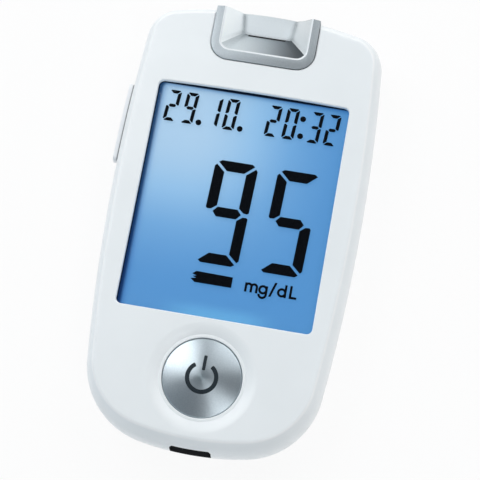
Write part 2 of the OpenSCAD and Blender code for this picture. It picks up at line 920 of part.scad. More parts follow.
module side_switch_housings() {
    color("dimgray")
    for (s = [-1, 1])
        difference() {
            block([side_switch_x, key_y + s * switch_arm - side_switch_w / 2, board_top_z],
                  [side_switch_x + side_switch_l, key_y + s * switch_arm + side_switch_w / 2,
                   board_top_z + side_switch_h]);
            block([side_switch_x - 1, key_y + s * switch_arm - 0.65, plunger_z - 0.05],
                  [side_switch_x + 1.4, key_y + s * switch_arm + 0.65, plunger_z + plunger_h + 0.05]);
        }
}

// ---------------------------------------------------------------- display

module display_window() {
    color("lightcyan", 0.4)
    translate([0, screen_y, window_z])
        linear_extrude(height = window_t)
            rounded(screen_w + 2 * window_edge - 0.4, screen_l + 2 * window_edge - 0.2, screen_r + 1);
}

module lcd_glass() {
    color("steelblue")
    block([-lcd_w / 2, lcd_bottom_y, lcd_z], [lcd_w / 2, lcd_top_y, lcd_top_z]);
}

// A point of a digit that leans to the right
function lean(p, slant) = [p[0] + p[1] * slant, p[1]];

// The seven bars of a digit of width w and height h, with its lower left corner at the origin.
// Their ends are mitred and then cut off at the tip, in shares of the bars' thickness t.
function bars(w, h, t) =
    let (
        m = h / 2,
        up = [
            [0, m + 0.3 * t], [0, h - 0.62 * t], [0.18 * t, h - 0.42 * t], [t, h - 1.12 * t],
            [t, m + 0.6 * t], [0.5 * t, m + 0.2 * t], [0.15 * t, m + 0.17 * t]
        ],
        down = [for (p = up) [p[0], h - p[1]]],
        flat = [
            [0.6 * t, h], [w - 0.6 * t, h], [w - 0.32 * t, h - 0.2 * t],
            [w - 1.22 * t, h - t], [1.22 * t, h - t], [0.32 * t, h - 0.2 * t]
        ]
    )
    [
        flat, [for (p = up) [w - p[0], p[1]]], [for (p = down) [w - p[0], p[1]]],
        [for (p = flat) [p[0], h - p[1]]], down, up,
        [
            [0.7 * t, m], [1.1 * t, m + 0.47 * t], [w - 1.1 * t, m + 0.47 * t],
            [w - 0.7 * t, m], [w - 1.1 * t, m - 0.47 * t], [1.1 * t, m - 0.47 * t]
        ]
    ];

// Bars that each digit lights, in the order top, upper right, lower right, bottom, lower left,
// upper left, middle
digit_bars = [
    [1, 1, 1, 1, 1, 1, 0], [0, 1, 1, 0, 0, 0, 0], [1, 1, 0, 1, 1, 0, 1], [1, 1, 1, 1, 0, 0, 1],
    [0, 1, 1, 0, 0, 1, 1], [1, 0, 1, 1, 0, 1, 1], [1, 0, 1, 1, 1, 1, 1], [1, 1, 1, 0, 0, 0, 0],
    [1, 1, 1, 1, 1, 1, 1], [1, 1, 1, 1, 0, 1, 1]
];

module digit(n, w, h, t, slant) {
    for (i = [0 : 6])
        if (digit_bars[n][i] == 1)
            polygon([for (p = bars(w, h, t)[i]) lean(p, slant)]);
}

module print_on_glass() {
    translate([0, 0, lcd_top_z])
        linear_extrude(height = ink_t)
            children();
}

// The reading stands right of the middle, its height being what the clock and the marks leave
clock_drop = 1.3;
clock_side = 2;
value_to_clock = 6.9;
value_rise = 12.1;
value_side = 4.3;
value_slant = 0.03;
value_y = screen_bottom_y + value_rise;
value_h = screen_l - value_rise - value_to_clock - clock_h - clock_drop;
value_x = screen_w / 2 - value_side - 2 * value_w - value_gap;
value_places = [[9, value_x], [5, value_x + value_w + value_gap]];

// The clock's digits stand one pitch apart, and the numbers before them count pitches
clock_slant = 0.07;
clock_x = -screen_w / 2 + clock_side;
clock_y = screen_top_y - clock_drop - clock_h;
clock_pitch = (screen_w - 2 * clock_side - clock_w) / 9.08;
clock_places = [
    [2, 0], [9, 1.01], [1, 2.39], [0, 3.36], [2, 5.75], [0, 6.74], [3, 8.12], [2, 9.08]
];
dot_places = [2.04, 4.39];
dot_r = 0.85 * clock_stroke;
colon_place = 7.79;

// The strip symbol and the unit stand under the two digits
marks_drop = 4.5;
marks_y = value_y - marks_drop;
symbol_w = 8.9;
unit_shift = 2;
unit_cap = 2.8;
unit_stroke = 0.5;

module display_reading() {
    color("black")
    print_on_glass()
        for (d = value_places)
            translate([d[1], value_y])
                digit(d[0], value_w, value_h, value_stroke, value_slant);
}

module display_clock() {
    color("black")
    print_on_glass() {
        for (d = clock_places)
            translate([clock_x + d[1] * clock_pitch, clock_y])
                digit(d[0], clock_w, clock_h, clock_stroke, clock_slant);
        for (n = dot_places)
            translate([clock_x + n * clock_pitch, clock_y + dot_r])
                circle(r = dot_r, $fn = 24);
        for (y = [0.16, 0.71])
            translate([clock_x + colon_place * clock_pitch, clock_y + y * clock_h])
                circle(r = dot_r, $fn = 24);
    }
}

// Strip symbol under the reading, and the unit's letters built from strokes
module display_marks() {
    color("black")
    print_on_glass() {
        translate([value_x, marks_y])
            strip_symbol(symbol_w);
        translate([value_x + value_w + value_gap - unit_shift, marks_y - unit_stroke / 2])
            unit_letters(unit_cap, unit_stroke);
    }
}

// A test strip of length w seen flat, with its notched end to the left
module strip_symbol(w) {
    scale(w)
        polygon([
            [0.11, 0], [1, 0], [1, 0.26], [0.11, 0.275], [0.02, 0.2],
            [0.13, 0.165], [0.04, 0.14], [0.13, 0.11], [0, 0.08]
        ]);
}

module ring(r, t) {
    difference() {
        circle(r = r);
        circle(r = r - t);
    }
}

// The letters m, g, a stroke, d and L: x is the height of a small letter
module unit_letters(cap, t) {
    x = cap * 0.72;
    r = x / 2;
    // m
    square([t, x]);
    for (i = [0, 1])
        translate([i * 0.58 * x, 0]) {
            translate([0.58 * x, 0])
                square([t, x * 0.62]);
            translate([(0.58 * x + t) / 2, x * 0.62])
                intersection() {
                    ring((0.58 * x + t) / 2, t);
                    translate([-x, 0])
                        square([2 * x, x]);
                }
        }
    // g
    translate([x * 1.95, r]) {
        ring(r, t);
        translate([r - t, -r - 0.1])
            square([t, x * 0.98]);
        translate([0, -r])
            intersection() {
                ring(r, t);
                translate([-x, -x])
                    square([2 * x, x]);
            }
    }
    // stroke
    polygon([[x * 2.6, -0.25], [x * 2.6 + t, -0.25], [x * 3.1 + t, cap + 0.15], [x * 3.1, cap + 0.15]]);
    // d
    translate([x * 3.95, r]) {
        ring(r, t);
        translate([r - t, -r])
            square([t, cap]);
    }
    // L
    translate([x * 4.75, 0]) {
        square([t, cap]);
        square([cap * 0.58, t]);
    }
}

module lcd_holder() {
    pocket = lcd_w + 2 * fit;
    color("white")
    difference() {
        block([-holder_w / 2, holder_bottom_y, board_top_z], [holder_w / 2, holder_top_y, lcd_top_z]);
        block([-pocket / 2, lcd_bottom_y - fit, lcd_z], [pocket / 2, lcd_top_y + fit, far]);
        block([-guide_w / 2 - fit, guide_bottom_y - fit, flex_z],
              [guide_w / 2 + fit, lcd_top_y - 0.2, lcd_z + eps]);
        block([-screen_w / 2 + 1, guide_bottom_y + 1.2, shelf_z - 1],
              [screen_w / 2 - 1, screen_top_y - 1.4, flex_z + eps]);
        // room for the board's parts below the shelf
        block([-holder_w / 2 + holder_wall, lcd_bottom_y + zebra_t + 1.2, board_top_z - 1],
              [holder_w / 2 - holder_wall, holder_top_y - holder_wall, shelf_z]);
        // passage of the zebra connector
        block([-screen_w / 2, zebra_y - zebra_t / 2 - 0.05, board_top_z - 1],
              [screen_w / 2, zebra_y + zebra_t / 2 + 0.05, lcd_z + eps]);
        // clear of the side switches
        block([-far, key_y - switch_arm - 4, board_top_z - 1], [0, key_y + switch_arm + 4, shelf_z]);
    }
}

module light_guide() {
    color("azure", 0.6)
    block([-guide_w / 2, guide_bottom_y, guide_z], [guide_w / 2, guide_top_y, guide_z + guide_t]);
}

module backlight_flex() {
    color("darkorange")
    block([-guide_w / 2, guide_bottom_y, flex_z], [guide_w / 2, guide_top_y + led_l + 0.15, guide_z]);
}

module backlight_leds() {
    color("deepskyblue")
    for (x = [-1, 0, 1])
        translate([x * (guide_w / 2 - 8.4), guide_top_y + fit, guide_z])
            block([-1.5 * led_l, 0, 0], [1.5 * led_l, led_l, 0.8 * led_l]);
}

module zebra_connector() {
    color("dimgray")
    block([-screen_w / 2 + 0.5, zebra_y - zebra_t / 2, board_top_z],
          [screen_w / 2 - 0.5, zebra_y + zebra_t / 2, lcd_z]);
}

// ---------------------------------------------------------------- board

module main_board() {
    color("seagreen")
    difference() {
        translate([0, 0, board_z])
            linear_extrude(height = board_t)
                polygon(outline(board_inset, board_inset, board_inset));
        for (p = screw_places)
            translate([p[0], p[1], 0])
                rod(boss_r + 0.3, 0, far);
        // clear of the key's pivot
        block([-far, key_y - 3, 0], [pivot_x + lug_r + 0.35, key_y + 3, far]);
    }
}

// Package with legs on its two long sides
module chip(w, l, h, legs) {
    block([-w / 2, -l / 2, leg_t / 3], [w / 2, l / 2, h]);
    pitch = l / legs;
    for (s = [-1, 1])
        for (i = [0 : legs - 1])
            translate([s * (w + leg_l) / 2, -l / 2 + (i + 0.5) * pitch, leg_t / 2])
                cube([leg_l + leg_t, pitch * 0.4, leg_t], center = true);
}

module microcontroller() {
    color("black")
    translate([0, screen_y, board_top_z])
        chip(mcu_w, mcu_l, chip_h, mcu_legs);
}

module board_chips() {
    upper_y = screen_top_y - chip_end;
    color("black")
    for (p = [[-chip_x, upper_y], [chip_x, upper_y], [chip_x, screen_bottom_y + chip_end]])
        translate([p[0], p[1], board_top_z])
            chip(chip_w, chip_l, chip_h, chip_legs);
}

// A box that lies on the board, with its middle at a place
module on_board(x, y, w, l, h) {
    translate([x - w / 2, y - l / 2, board_top_z])
        cube([w, l, h]);
}

module board_passives() {
    pitch = 2 * passive_l + 0.2;
    color("tan") {
        for (i = [0 : 4])
            on_board(-chip_x + i * pitch, screen_bottom_y + chip_end, passive_l, passive_l / 2, passive_l / 2);
        for (i = [0 : 3])
            on_board(chip_x, screen_bottom_y + chip_end + chip_l - passive_l + i * pitch,
                     passive_l / 2, passive_l, passive_l / 2);
        on_board(-chip_x + chip_w, screen_y, crystal_w, crystal_w / 2, chip_h * 0.7);
    }
}

module buzzer() {
    color("black")
    translate([0, screw_y_top - buzzer_drop, 0])
        difference() {
            block([-buzzer_w / 2, -buzzer_w / 2, board_z - buzzer_h],
                  [buzzer_w / 2, buzzer_w / 2, board_z]);
            rod(buzzer_w * 0.14, board_z - buzzer_h - 1, board_z - buzzer_h / 3);
        }
}

// ---------------------------------------------------------------- data socket

module data_socket_shell() {
    inner_h = socket_h - 2 * socket_wall;
    color("silver")
    difference() {
        block([-socket_w / 2, socket_mouth_y, board_top_z],
              [socket_w / 2, socket_mouth_y + socket_l, board_top_z + socket_h]);
        block([-socket_w / 2 + socket_wall, socket_mouth_y - 1, board_top_z + socket_wall],
              [socket_w / 2 - socket_wall, socket_mouth_y + socket_l - socket_wall,
               board_top_z + socket_wall + inner_h]);
    }
}

module data_socket_tongue() {
    color("black")
    union() {
        block([-socket_w / 2 + socket_wall, socket_mouth_y + socket_l - 2, board_top_z + socket_wall],
              [socket_w / 2 - socket_wall, socket_mouth_y + socket_l - socket_wall,
               board_top_z + socket_h - socket_wall]);
        block([-socket_w / 2 + 1.4, socket_mouth_y + 1, board_top_z + 1.4],
              [socket_w / 2 - 1.4, socket_mouth_y + socket_l - 1.9, board_top_z + 2.2]);
    }
}

// ---------------------------------------------------------------- cells and screws

module coin_cell(y) {
    rim_r = 0.4;
    translate([0, y, cell_z])
        rotate_extrude($fn = 96)
            polygon([
                [0, 0], [cell_r - rim_r, 0], [cell_r, rim_r], [cell_r, cell_t - 0.3],
                [cell_r - 0.3, cell_t - 0.3], [cell_r - 1.4, cell_t - 0.3],
                [cell_r - 1.6, cell_t], [0, cell_t]
            ]);
}

module coin_cell_upper() {
    color("silver")
    coin_cell(bay_y + cell_pitch / 2);
}

module coin_cell_lower() {
    color("silver")
    coin_cell(bay_y - cell_pitch / 2);
}

// Leaf that presses on a cell's upper face, with its tail up through the bay's roof to the board
module cell_minus_springs() {
    color("gold")
    for (s = [-1, 1])
        translate([0, bay_y + s * cell_pitch / 2, 0])
            along_x(-tail_w / 2, tail_w / 2)
                polygon([
                    [-5 - leaf_t / 2, board_z], [-5 + leaf_t, board_z], [-5 + leaf_t, bay_roof_z - leaf_t],
                    [-1, cell_z + cell_t + 0.02 + leaf_t], [0, cell_z + cell_t + 0.02 + leaf_t],
                    [2.2, bay_roof_z - 0.1], [2.3, bay_roof_z - 0.3],
                    [0.1, cell_z + cell_t + 0.02], [-1, cell_z + cell_t + 0.02],
                    [-5 - leaf_t / 2, bay_roof_z - 2 * leaf_t]
                ]);
}

// Upright leaf against a cell's rim
module cell_plus_clips() {
    color("gold")
    for (s = [-1, 1])
        translate([0, bay_y + s * cell_pitch / 2, 0])
            rotate([90, 0, 0])
                linear_extrude(height = tail_w, center = true)
                    polygon([
                        [cell_r + 0.02, cell_z + 1.2], [cell_r + 0.02, cell_z + 2],
                        [pocket_r + 0.3, bay_roof_z - 0.2], [pocket_r + 0.3, board_z],
                        [pocket_r + 0.5, board_z], [pocket_r + 0.5, bay_roof_z - 0.3],
                        [cell_r + 0.22, cell_z + 1.9], [cell_r + 0.22, cell_z + 1.2]
                    ]);
}

module case_screws() {
    color("dimgray")
    for (p = screw_places)
        translate([p[0], p[1], 0])
            difference() {
                union() {
                    rod(head_r, head_sink, head_sink + head_h);
                    rod(screw_r, head_sink + head_h - eps, split_z + thread_l);
                }
                for (a = [0, 90])
                    rotate([0, 0, a])
                        block([-cross_w / 2, -cross_t / 2, -1],
                              [cross_w / 2, cross_t / 2, head_sink + cross_depth]);
            }
}

front_cover();
back_cover();
battery_door();
strip_port_trim();
power_button();
power_symbol();
power_switch_plunger();
power_switch_housing();
side_key();
side_key_pin();
side_switch_housings();
side_switch_plunger_upper();
side_switch_plunger_lower();
display_window();
lcd_glass();
display_reading();
display_clock();
display_marks();
lcd_holder();
light_guide();
backlight_flex();
backlight_leds();
zebra_connector();
main_board();
microcontroller();
board_chips();
board_passives();
strip_connector();
strip_contacts();
data_socket_shell();
data_socket_tongue();
buzzer();
coin_cell_upper();
coin_cell_lower();
cell_minus_springs();
cell_plus_clips();
case_screws();
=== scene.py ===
# Looks of a blood glucose meter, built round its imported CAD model.
# Lengths in this script are millimetres; MM turns them into Blender's metres.
import json
import math

import bmesh
import bpy
from mathutils import Matrix, Vector
from mathutils.bvhtree import BVHTree
from mathutils.interpolate import poly_3d_calc


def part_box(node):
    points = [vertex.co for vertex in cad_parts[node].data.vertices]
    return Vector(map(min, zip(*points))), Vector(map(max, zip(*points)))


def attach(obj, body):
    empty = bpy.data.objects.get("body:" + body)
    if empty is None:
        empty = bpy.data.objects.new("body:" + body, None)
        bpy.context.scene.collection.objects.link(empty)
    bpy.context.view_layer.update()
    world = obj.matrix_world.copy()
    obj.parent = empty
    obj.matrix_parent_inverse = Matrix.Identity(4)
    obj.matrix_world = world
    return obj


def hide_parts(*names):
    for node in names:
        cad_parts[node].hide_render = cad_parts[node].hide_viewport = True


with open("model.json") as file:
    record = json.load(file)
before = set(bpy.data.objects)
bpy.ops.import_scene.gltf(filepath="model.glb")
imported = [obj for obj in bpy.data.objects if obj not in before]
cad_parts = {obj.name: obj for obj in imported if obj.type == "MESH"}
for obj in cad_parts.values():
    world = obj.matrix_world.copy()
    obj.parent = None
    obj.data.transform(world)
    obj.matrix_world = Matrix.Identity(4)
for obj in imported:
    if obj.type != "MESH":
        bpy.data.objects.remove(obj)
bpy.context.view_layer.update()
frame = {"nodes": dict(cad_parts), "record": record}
MM = 0.001

# Ends of cutting tools: beyond the sides, above the face and below the back
FAR, OVER, UNDER = 80, 17, -1

# ------------------------------------------------------------------ sizes, as in the CAD source

BODY_W, BODY_L, BODY_T = 55.2, 98.4, 16
BELT_Z, SPLIT_Z = 8.4, 7
SIDE_R, WIDEST_Y, TOP_R, BOTTOM_R = 400, 9, 95, 62
TOP_CORNER_R, BOTTOM_CORNER_R = 7.5, 17
# Roundings: reach inwards, height, and the height cut off before the rounding lies flat
SIDE_RIM, TOP_RIM, BOTTOM_RIM, BACK_RIM = (2.1, 7.2, 0.4), (2.2, 5, 0.4), (2.9, 6.9, 0.9), (5.5, BELT_Z, 0)
CREASE_DEPTH, CREASE_RUN = 0.24, 0.36
WALL, LIP, FLOOR, INNER_TURN = 1.5, 1, 1.4, 0.7
TRIM_PROUD = 0.4
TOP_Y, BOTTOM_Y = (BODY_L - TRIM_PROUD) / 2, -(BODY_L + TRIM_PROUD) / 2
SIDE_MID_X = BODY_W / 2 - SIDE_R
SCREEN_X, SCREEN_Y0, SCREEN_Y1, SCREEN_R, SCREEN_BOW = 21, -21.15, 29.1, 1.2, 0.35
BUTTON_Y, BUTTON_R, HOLE_R, DISH_R, RING_R = -33.8, 8.4, 8.49, 11.85, 9.2
DOME_H, DISH_DEPTH = 1.05, 0.75
TRIM_Y, TRIM_X, TRIM_Z, TRIM_TOP, TRIM_CORNER = 36, 11.5, 9.4, 16.15, 4
STRIP_SLOT = (-4.2, 38, 10.53), (4.2, 45.25, 10.98)
KEY_Y, KEY_Z, KEY_L, KEY_H, KEY_CORNER = 19.7, 9.7, 17.9, 3.4, 1.2
KEY_GAP_Y, KEY_GAP_Z = 0.25, 0.2
PORT_PLAN = [(-4.4, 8.4), (4.4, 8.4), (4.4, 12.1), (3.95, 13), (-3.95, 13), (-4.4, 12.1)]
NOTCH_Y0, NOTCH_Y1, NOTCH_Z0, NOTCH_Z1, NOTCH_DEPTH = 41.6, 43.2, 6.5, 9, 1.1
SCREWS, SCREW_BORE_R, SCREW_BORE_Z = [(18.5, 37), (-18.5, 37), (16, -36), (-16, -36)], 2, 1.5
BAY_X, BAY_Y0, BAY_Y1, BAY_TOP = 13.05, -27.85, 21.25, 6.3
CELL_YS, CELL_R, CELL_Z = (-14.6, 6.6), 10.25, 5.5
CLIP_X0, CLIP_X1, CLIP_HALF, CELL_LINK_X = 9.25, 11.15, 1.6, 6.25
DOOR_X, DOOR_Y0, DOOR_Y1, DOOR_Z = 11.65, -26.45, 19.85, 1.45
HINGE_Y, HINGE_Z = 17.05, 2.8
FINGER_R, FINGER_Z = 4, 0.92


# ------------------------------------------------------------------ outline of the body

def meet(a, ra, b, rb, way):
    """Meeting point of two circles, the further one along Y where way is 1."""
    v = b - a
    d = v.length
    m = (ra * ra - rb * rb + d * d) / (2 * d)
    h = math.sqrt(max(0, ra * ra - m * m))
    u = v / d
    p = a + m * u
    q, s = Vector((p.x - h * u.y, p.y + h * u.x)), Vector((p.x + h * u.y, p.y - h * u.x))
    return q if q.y * way > s.y * way else s


def bearing(a, b):
    return math.atan2(b.y - a.y, b.x - a.x)


def arc(mid, r, a, b, steps):
    angles = [a + (b - a) * i / steps for i in range(steps)]
    return [mid + r * Vector((math.cos(t), math.sin(t))) for t in angles]


def outline(side, top, bottom, fine=1):
    """Plan of the body, drawn in by its own inset at the sides, the top end and the bottom end."""
    side_mid = Vector((SIDE_MID_X, WIDEST_Y))
    top_mid, bottom_mid = Vector((0, TOP_Y - TOP_R)), Vector((0, BOTTOM_Y + BOTTOM_R))
    rs, rt, rb = SIDE_R - side, TOP_R - top, BOTTOM_R - bottom
    ct = max(1, TOP_CORNER_R - (side + top) / 2)
    cb = max(1, BOTTOM_CORNER_R - (side + bottom) / 2)
    kt = meet(side_mid, rs - ct, top_mid, rt - ct, 1)
    kb = meet(side_mid, rs - cb, bottom_mid, rb - cb, -1)
    a1, a2 = bearing(top_mid, kt), bearing(side_mid, kt)
    a3, a4 = bearing(side_mid, kb), bearing(bottom_mid, kb)
    half = arc(top_mid, rt, math.pi / 2, a1, 5 * fine)
    half += arc(kt, ct, a1, a2, 8 * fine)
    half += arc(side_mid, rs, a2, a3, 10 * fine)
    half += arc(kb, cb, a3, a4, 12 * fine)
    half += arc(bottom_mid, rb, a4, -math.pi / 2, 6 * fine)
    half += [bottom_mid + Vector((0, -rb))]
    return half + [Vector((-p.x, p.y)) for p in half[-2:0:-1]]


def rim(depth, reach, drop, crest):
    """Inset of an elliptical rounding, which is cut off a crest's height before it lies flat."""
    def turned_in(height):
        return 1 - math.sqrt(1 - (height / (drop + crest)) ** 2)
    return reach * turned_in(max(0, min(drop, drop - depth))) / turned_in(drop)


def skin(z, wall=0, drop=0, turn=1, fine=1):
    """Ring of the outer skin at a height, drawn in by the rounding there and by a wall."""
    if z >= BELT_Z:
        depth = BODY_T - z - drop
        insets = [wall + turn * rim(depth, *edge) for edge in (SIDE_RIM, TOP_RIM, BOTTOM_RIM)]
    else:
        insets = [wall + rim(z, *BACK_RIM)] * 3
    return [(p.x, p.y, z) for p in outline(*insets, fine)]


def crease(share, fine=1):
    """Ring of the small fillet between the rim and the face, from 0 at its foot to 1 on the face."""
    a, b, c = (1 - share) ** 2, 2 * share * (1 - share), share ** 2
    insets = [a * rim(CREASE_DEPTH, *edge) + (b + c) * rim(0, *edge) + c * CREASE_RUN
              for edge in (SIDE_RIM, TOP_RIM, BOTTOM_RIM)]
    return [(p.x, p.y, BODY_T - a * CREASE_DEPTH) for p in outline(*insets, fine)]


def side_at(y):
    """Half the body's width at a place along it."""
    return SIDE_MID_X + math.sqrt(SIDE_R ** 2 - (y - WIDEST_Y) ** 2)


# ------------------------------------------------------------------ mesh tools

def add(name, verts, faces):
    mesh = bpy.data.meshes.new(name)
    mesh.from_pydata([Vector(v) * MM for v in verts], [], faces)
    obj = bpy.data.objects.new(name, mesh)
    bpy.context.scene.collection.objects.link(obj)
    tidy(obj)
    return obj


def tidy(obj):
    """Merges double points and turns all faces outwards."""
    bm = bmesh.new()
    bm.from_mesh(obj.data)
    bmesh.ops.remove_doubles(bm, verts=bm.verts, dist=1e-6)
    bmesh.ops.recalc_face_normals(bm, faces=bm.faces)
    bm.to_mesh(obj.data)
    bm.free()


def skin_faces(n, m):
    """The four-sided faces between m rings of n points."""
    return [(k * n + i, k * n + (i + 1) % n, (k + 1) * n + (i + 1) % n, (k + 1) * n + i)
            for k in range(m - 1) for i in range(n)]


def loft(name, rings):
    """A closed solid through rings of equal length."""
    n, m = len(rings[0]), len(rings)
    verts = [p for ring in rings for p in ring]
    return add(name, verts, skin_faces(n, m) + [tuple(range(n)), tuple(range((m - 1) * n, m * n))])


def block(low, high):
    (x0, y0, z0), (x1, y1, z1) = low, high
    return loft("cut", [[(x0, y0, z), (x1, y0, z), (x1, y1, z), (x0, y1, z)] for z in (z0, z1)])


def revolve(name, profile, x, y, steps=144):
    """A solid of revolution about an upright axis; profile runs from axis to axis."""
    verts, faces, rings = [], [], []
    angles = [math.tau * i / steps for i in range(steps)]
    for r, z in profile:
        if r < 1e-6:
            rings.append([len(verts)])
            verts.append((x, y, z))
        else:
            rings.append(list(range(len(verts), len(verts) + steps)))
            verts += [(x + r * math.cos(t), y + r * math.sin(t), z) for t in angles]
    for a, b in zip(rings, rings[1:]):
        for i in range(steps):
            j = (i + 1) % steps
            if len(a) == 1:
                faces.append((a[0], b[i], b[j]))
            elif len(b) == 1:
                faces.append((a[i], b[0], a[j]))
            else:
                faces.append((a[i], b[i], b[j], a[j]))
    return add(name, verts, faces)


def rod(r, z0, z1, x, y, steps=96):
    return revolve("cut", [(0, z0), (r, z0), (r, z1), (0, z1)], x, y, steps)


def rounded(x0, y0, x1, y1, r, z, steps=6):
    """Ring of a rectangle with rounded corners."""
    ring = []
    corners = (x1 - r, y1 - r, 0), (x0 + r, y1 - r, 90), (x0 + r, y0 + r, 180), (x1 - r, y0 + r, 270)
    for cx, cy, a in corners:
        for i in range(steps + 1):
            t = math.radians(a + 90 * i / steps)
            ring.append((cx + r * math.cos(t), cy + r * math.sin(t), z))
    return ring


def applied(obj):
    """Turns an object's modifiers into its mesh."""
    mesh = bpy.data.meshes.new_from_object(obj.evaluated_get(bpy.context.evaluated_depsgraph_get()))
    obj.modifiers.clear()
    obj.data = mesh


def carve(obj, *steps):
    """Cuts or joins other solids in turn, which are used up."""
    for operation, other in steps:
        m = obj.modifiers.new("carve", "BOOLEAN")
        m.operation, m.solver, m.object = operation, "EXACT", other
    bpy.context.view_layer.update()
    applied(obj)
    for _, other in steps:
        bpy.data.objects.remove(other)


def cut(obj, *others):
    carve(obj, *(("DIFFERENCE", other) for other in others))


def smooth(obj, angle=35, rules=()):
    """Smooth shading up to an angle; rules give the true normal of a point on a known surface."""
    mesh = obj.data
    mesh.shade_smooth()
    mesh.set_sharp_from_angle(angle=math.radians(angle))
    if not rules:
        return
    normals = [Vector(c.vector) for c in mesh.corner_normals]
    for face in mesh.polygons:
        for rule in rules:
            if rule(face.center, face.normal):
                for loop in face.loop_indices:
                    found = rule(mesh.vertices[mesh.loops[loop].vertex_index].co, face.normal)
                    normals[loop] = found or normals[loop]
                break
    mesh.normals_split_custom_set(normals)


def skin_rule(rings):
    """Normals of the smooth skin through rings; the last ring closes in a flat face."""
    n, m = len(rings[0]), len(rings)
    grid = [[Vector(p) * MM for p in ring] for ring in rings]
    up = 1 if rings[-1][0][2] > rings[0][0][2] else -1
    verts, normals = [], []
    for k in range(m):
        for i in range(n):
            along = grid[k][(i + 1) % n] - grid[k][i - 1]
            across = grid[min(k + 1, m - 1)][i] - grid[max(k - 1, 0)][i]
            normal = along.cross(across).normalized()
            if normal.dot(grid[k][i]) < 0:
                normal = -normal
            verts.append(grid[k][i])
            normals.append(Vector((0, 0, up)) if k == m - 1 else normal)
    faces = skin_faces(n, m)
    flat_face = len(faces)
    tree = BVHTree.FromPolygons(verts, faces + [tuple(range((m - 1) * n, m * n))])

    def rule(point, facing):
        place, _, index, distance = tree.find_nearest(point)
        if distance > 0.02 * MM:
            return None
        if index == flat_face:
            found = Vector((0, 0, up))
        else:
            corners = faces[index]
            weights = poly_3d_calc([verts[c] for c in corners], place)
            found = sum((w * normals[c] for w, c in zip(weights, corners)), Vector()).normalized()
        return found if found.dot(facing) > 0.8 else None
    return rule


def replace_node(obj, body, slot, *nodes):
    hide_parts(*nodes)
    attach(obj, body)


# ------------------------------------------------------------------ materials

LOOKS = {}
WHITE = (1, 1, 1, 1)
SILVER_GRAIN, SILVER_GRAIN_DEPTH = 0.14, 0.003


def srgb(*rgb):
    """A colour given in display levels from 0 to 255."""
    return [(c / 255 / 12.92 if c <= 10 else ((c / 255 + 0.055) / 1.055) ** 2.4) for c in rgb] + [1]


def grey(level):
    return (level, level, level, 1)


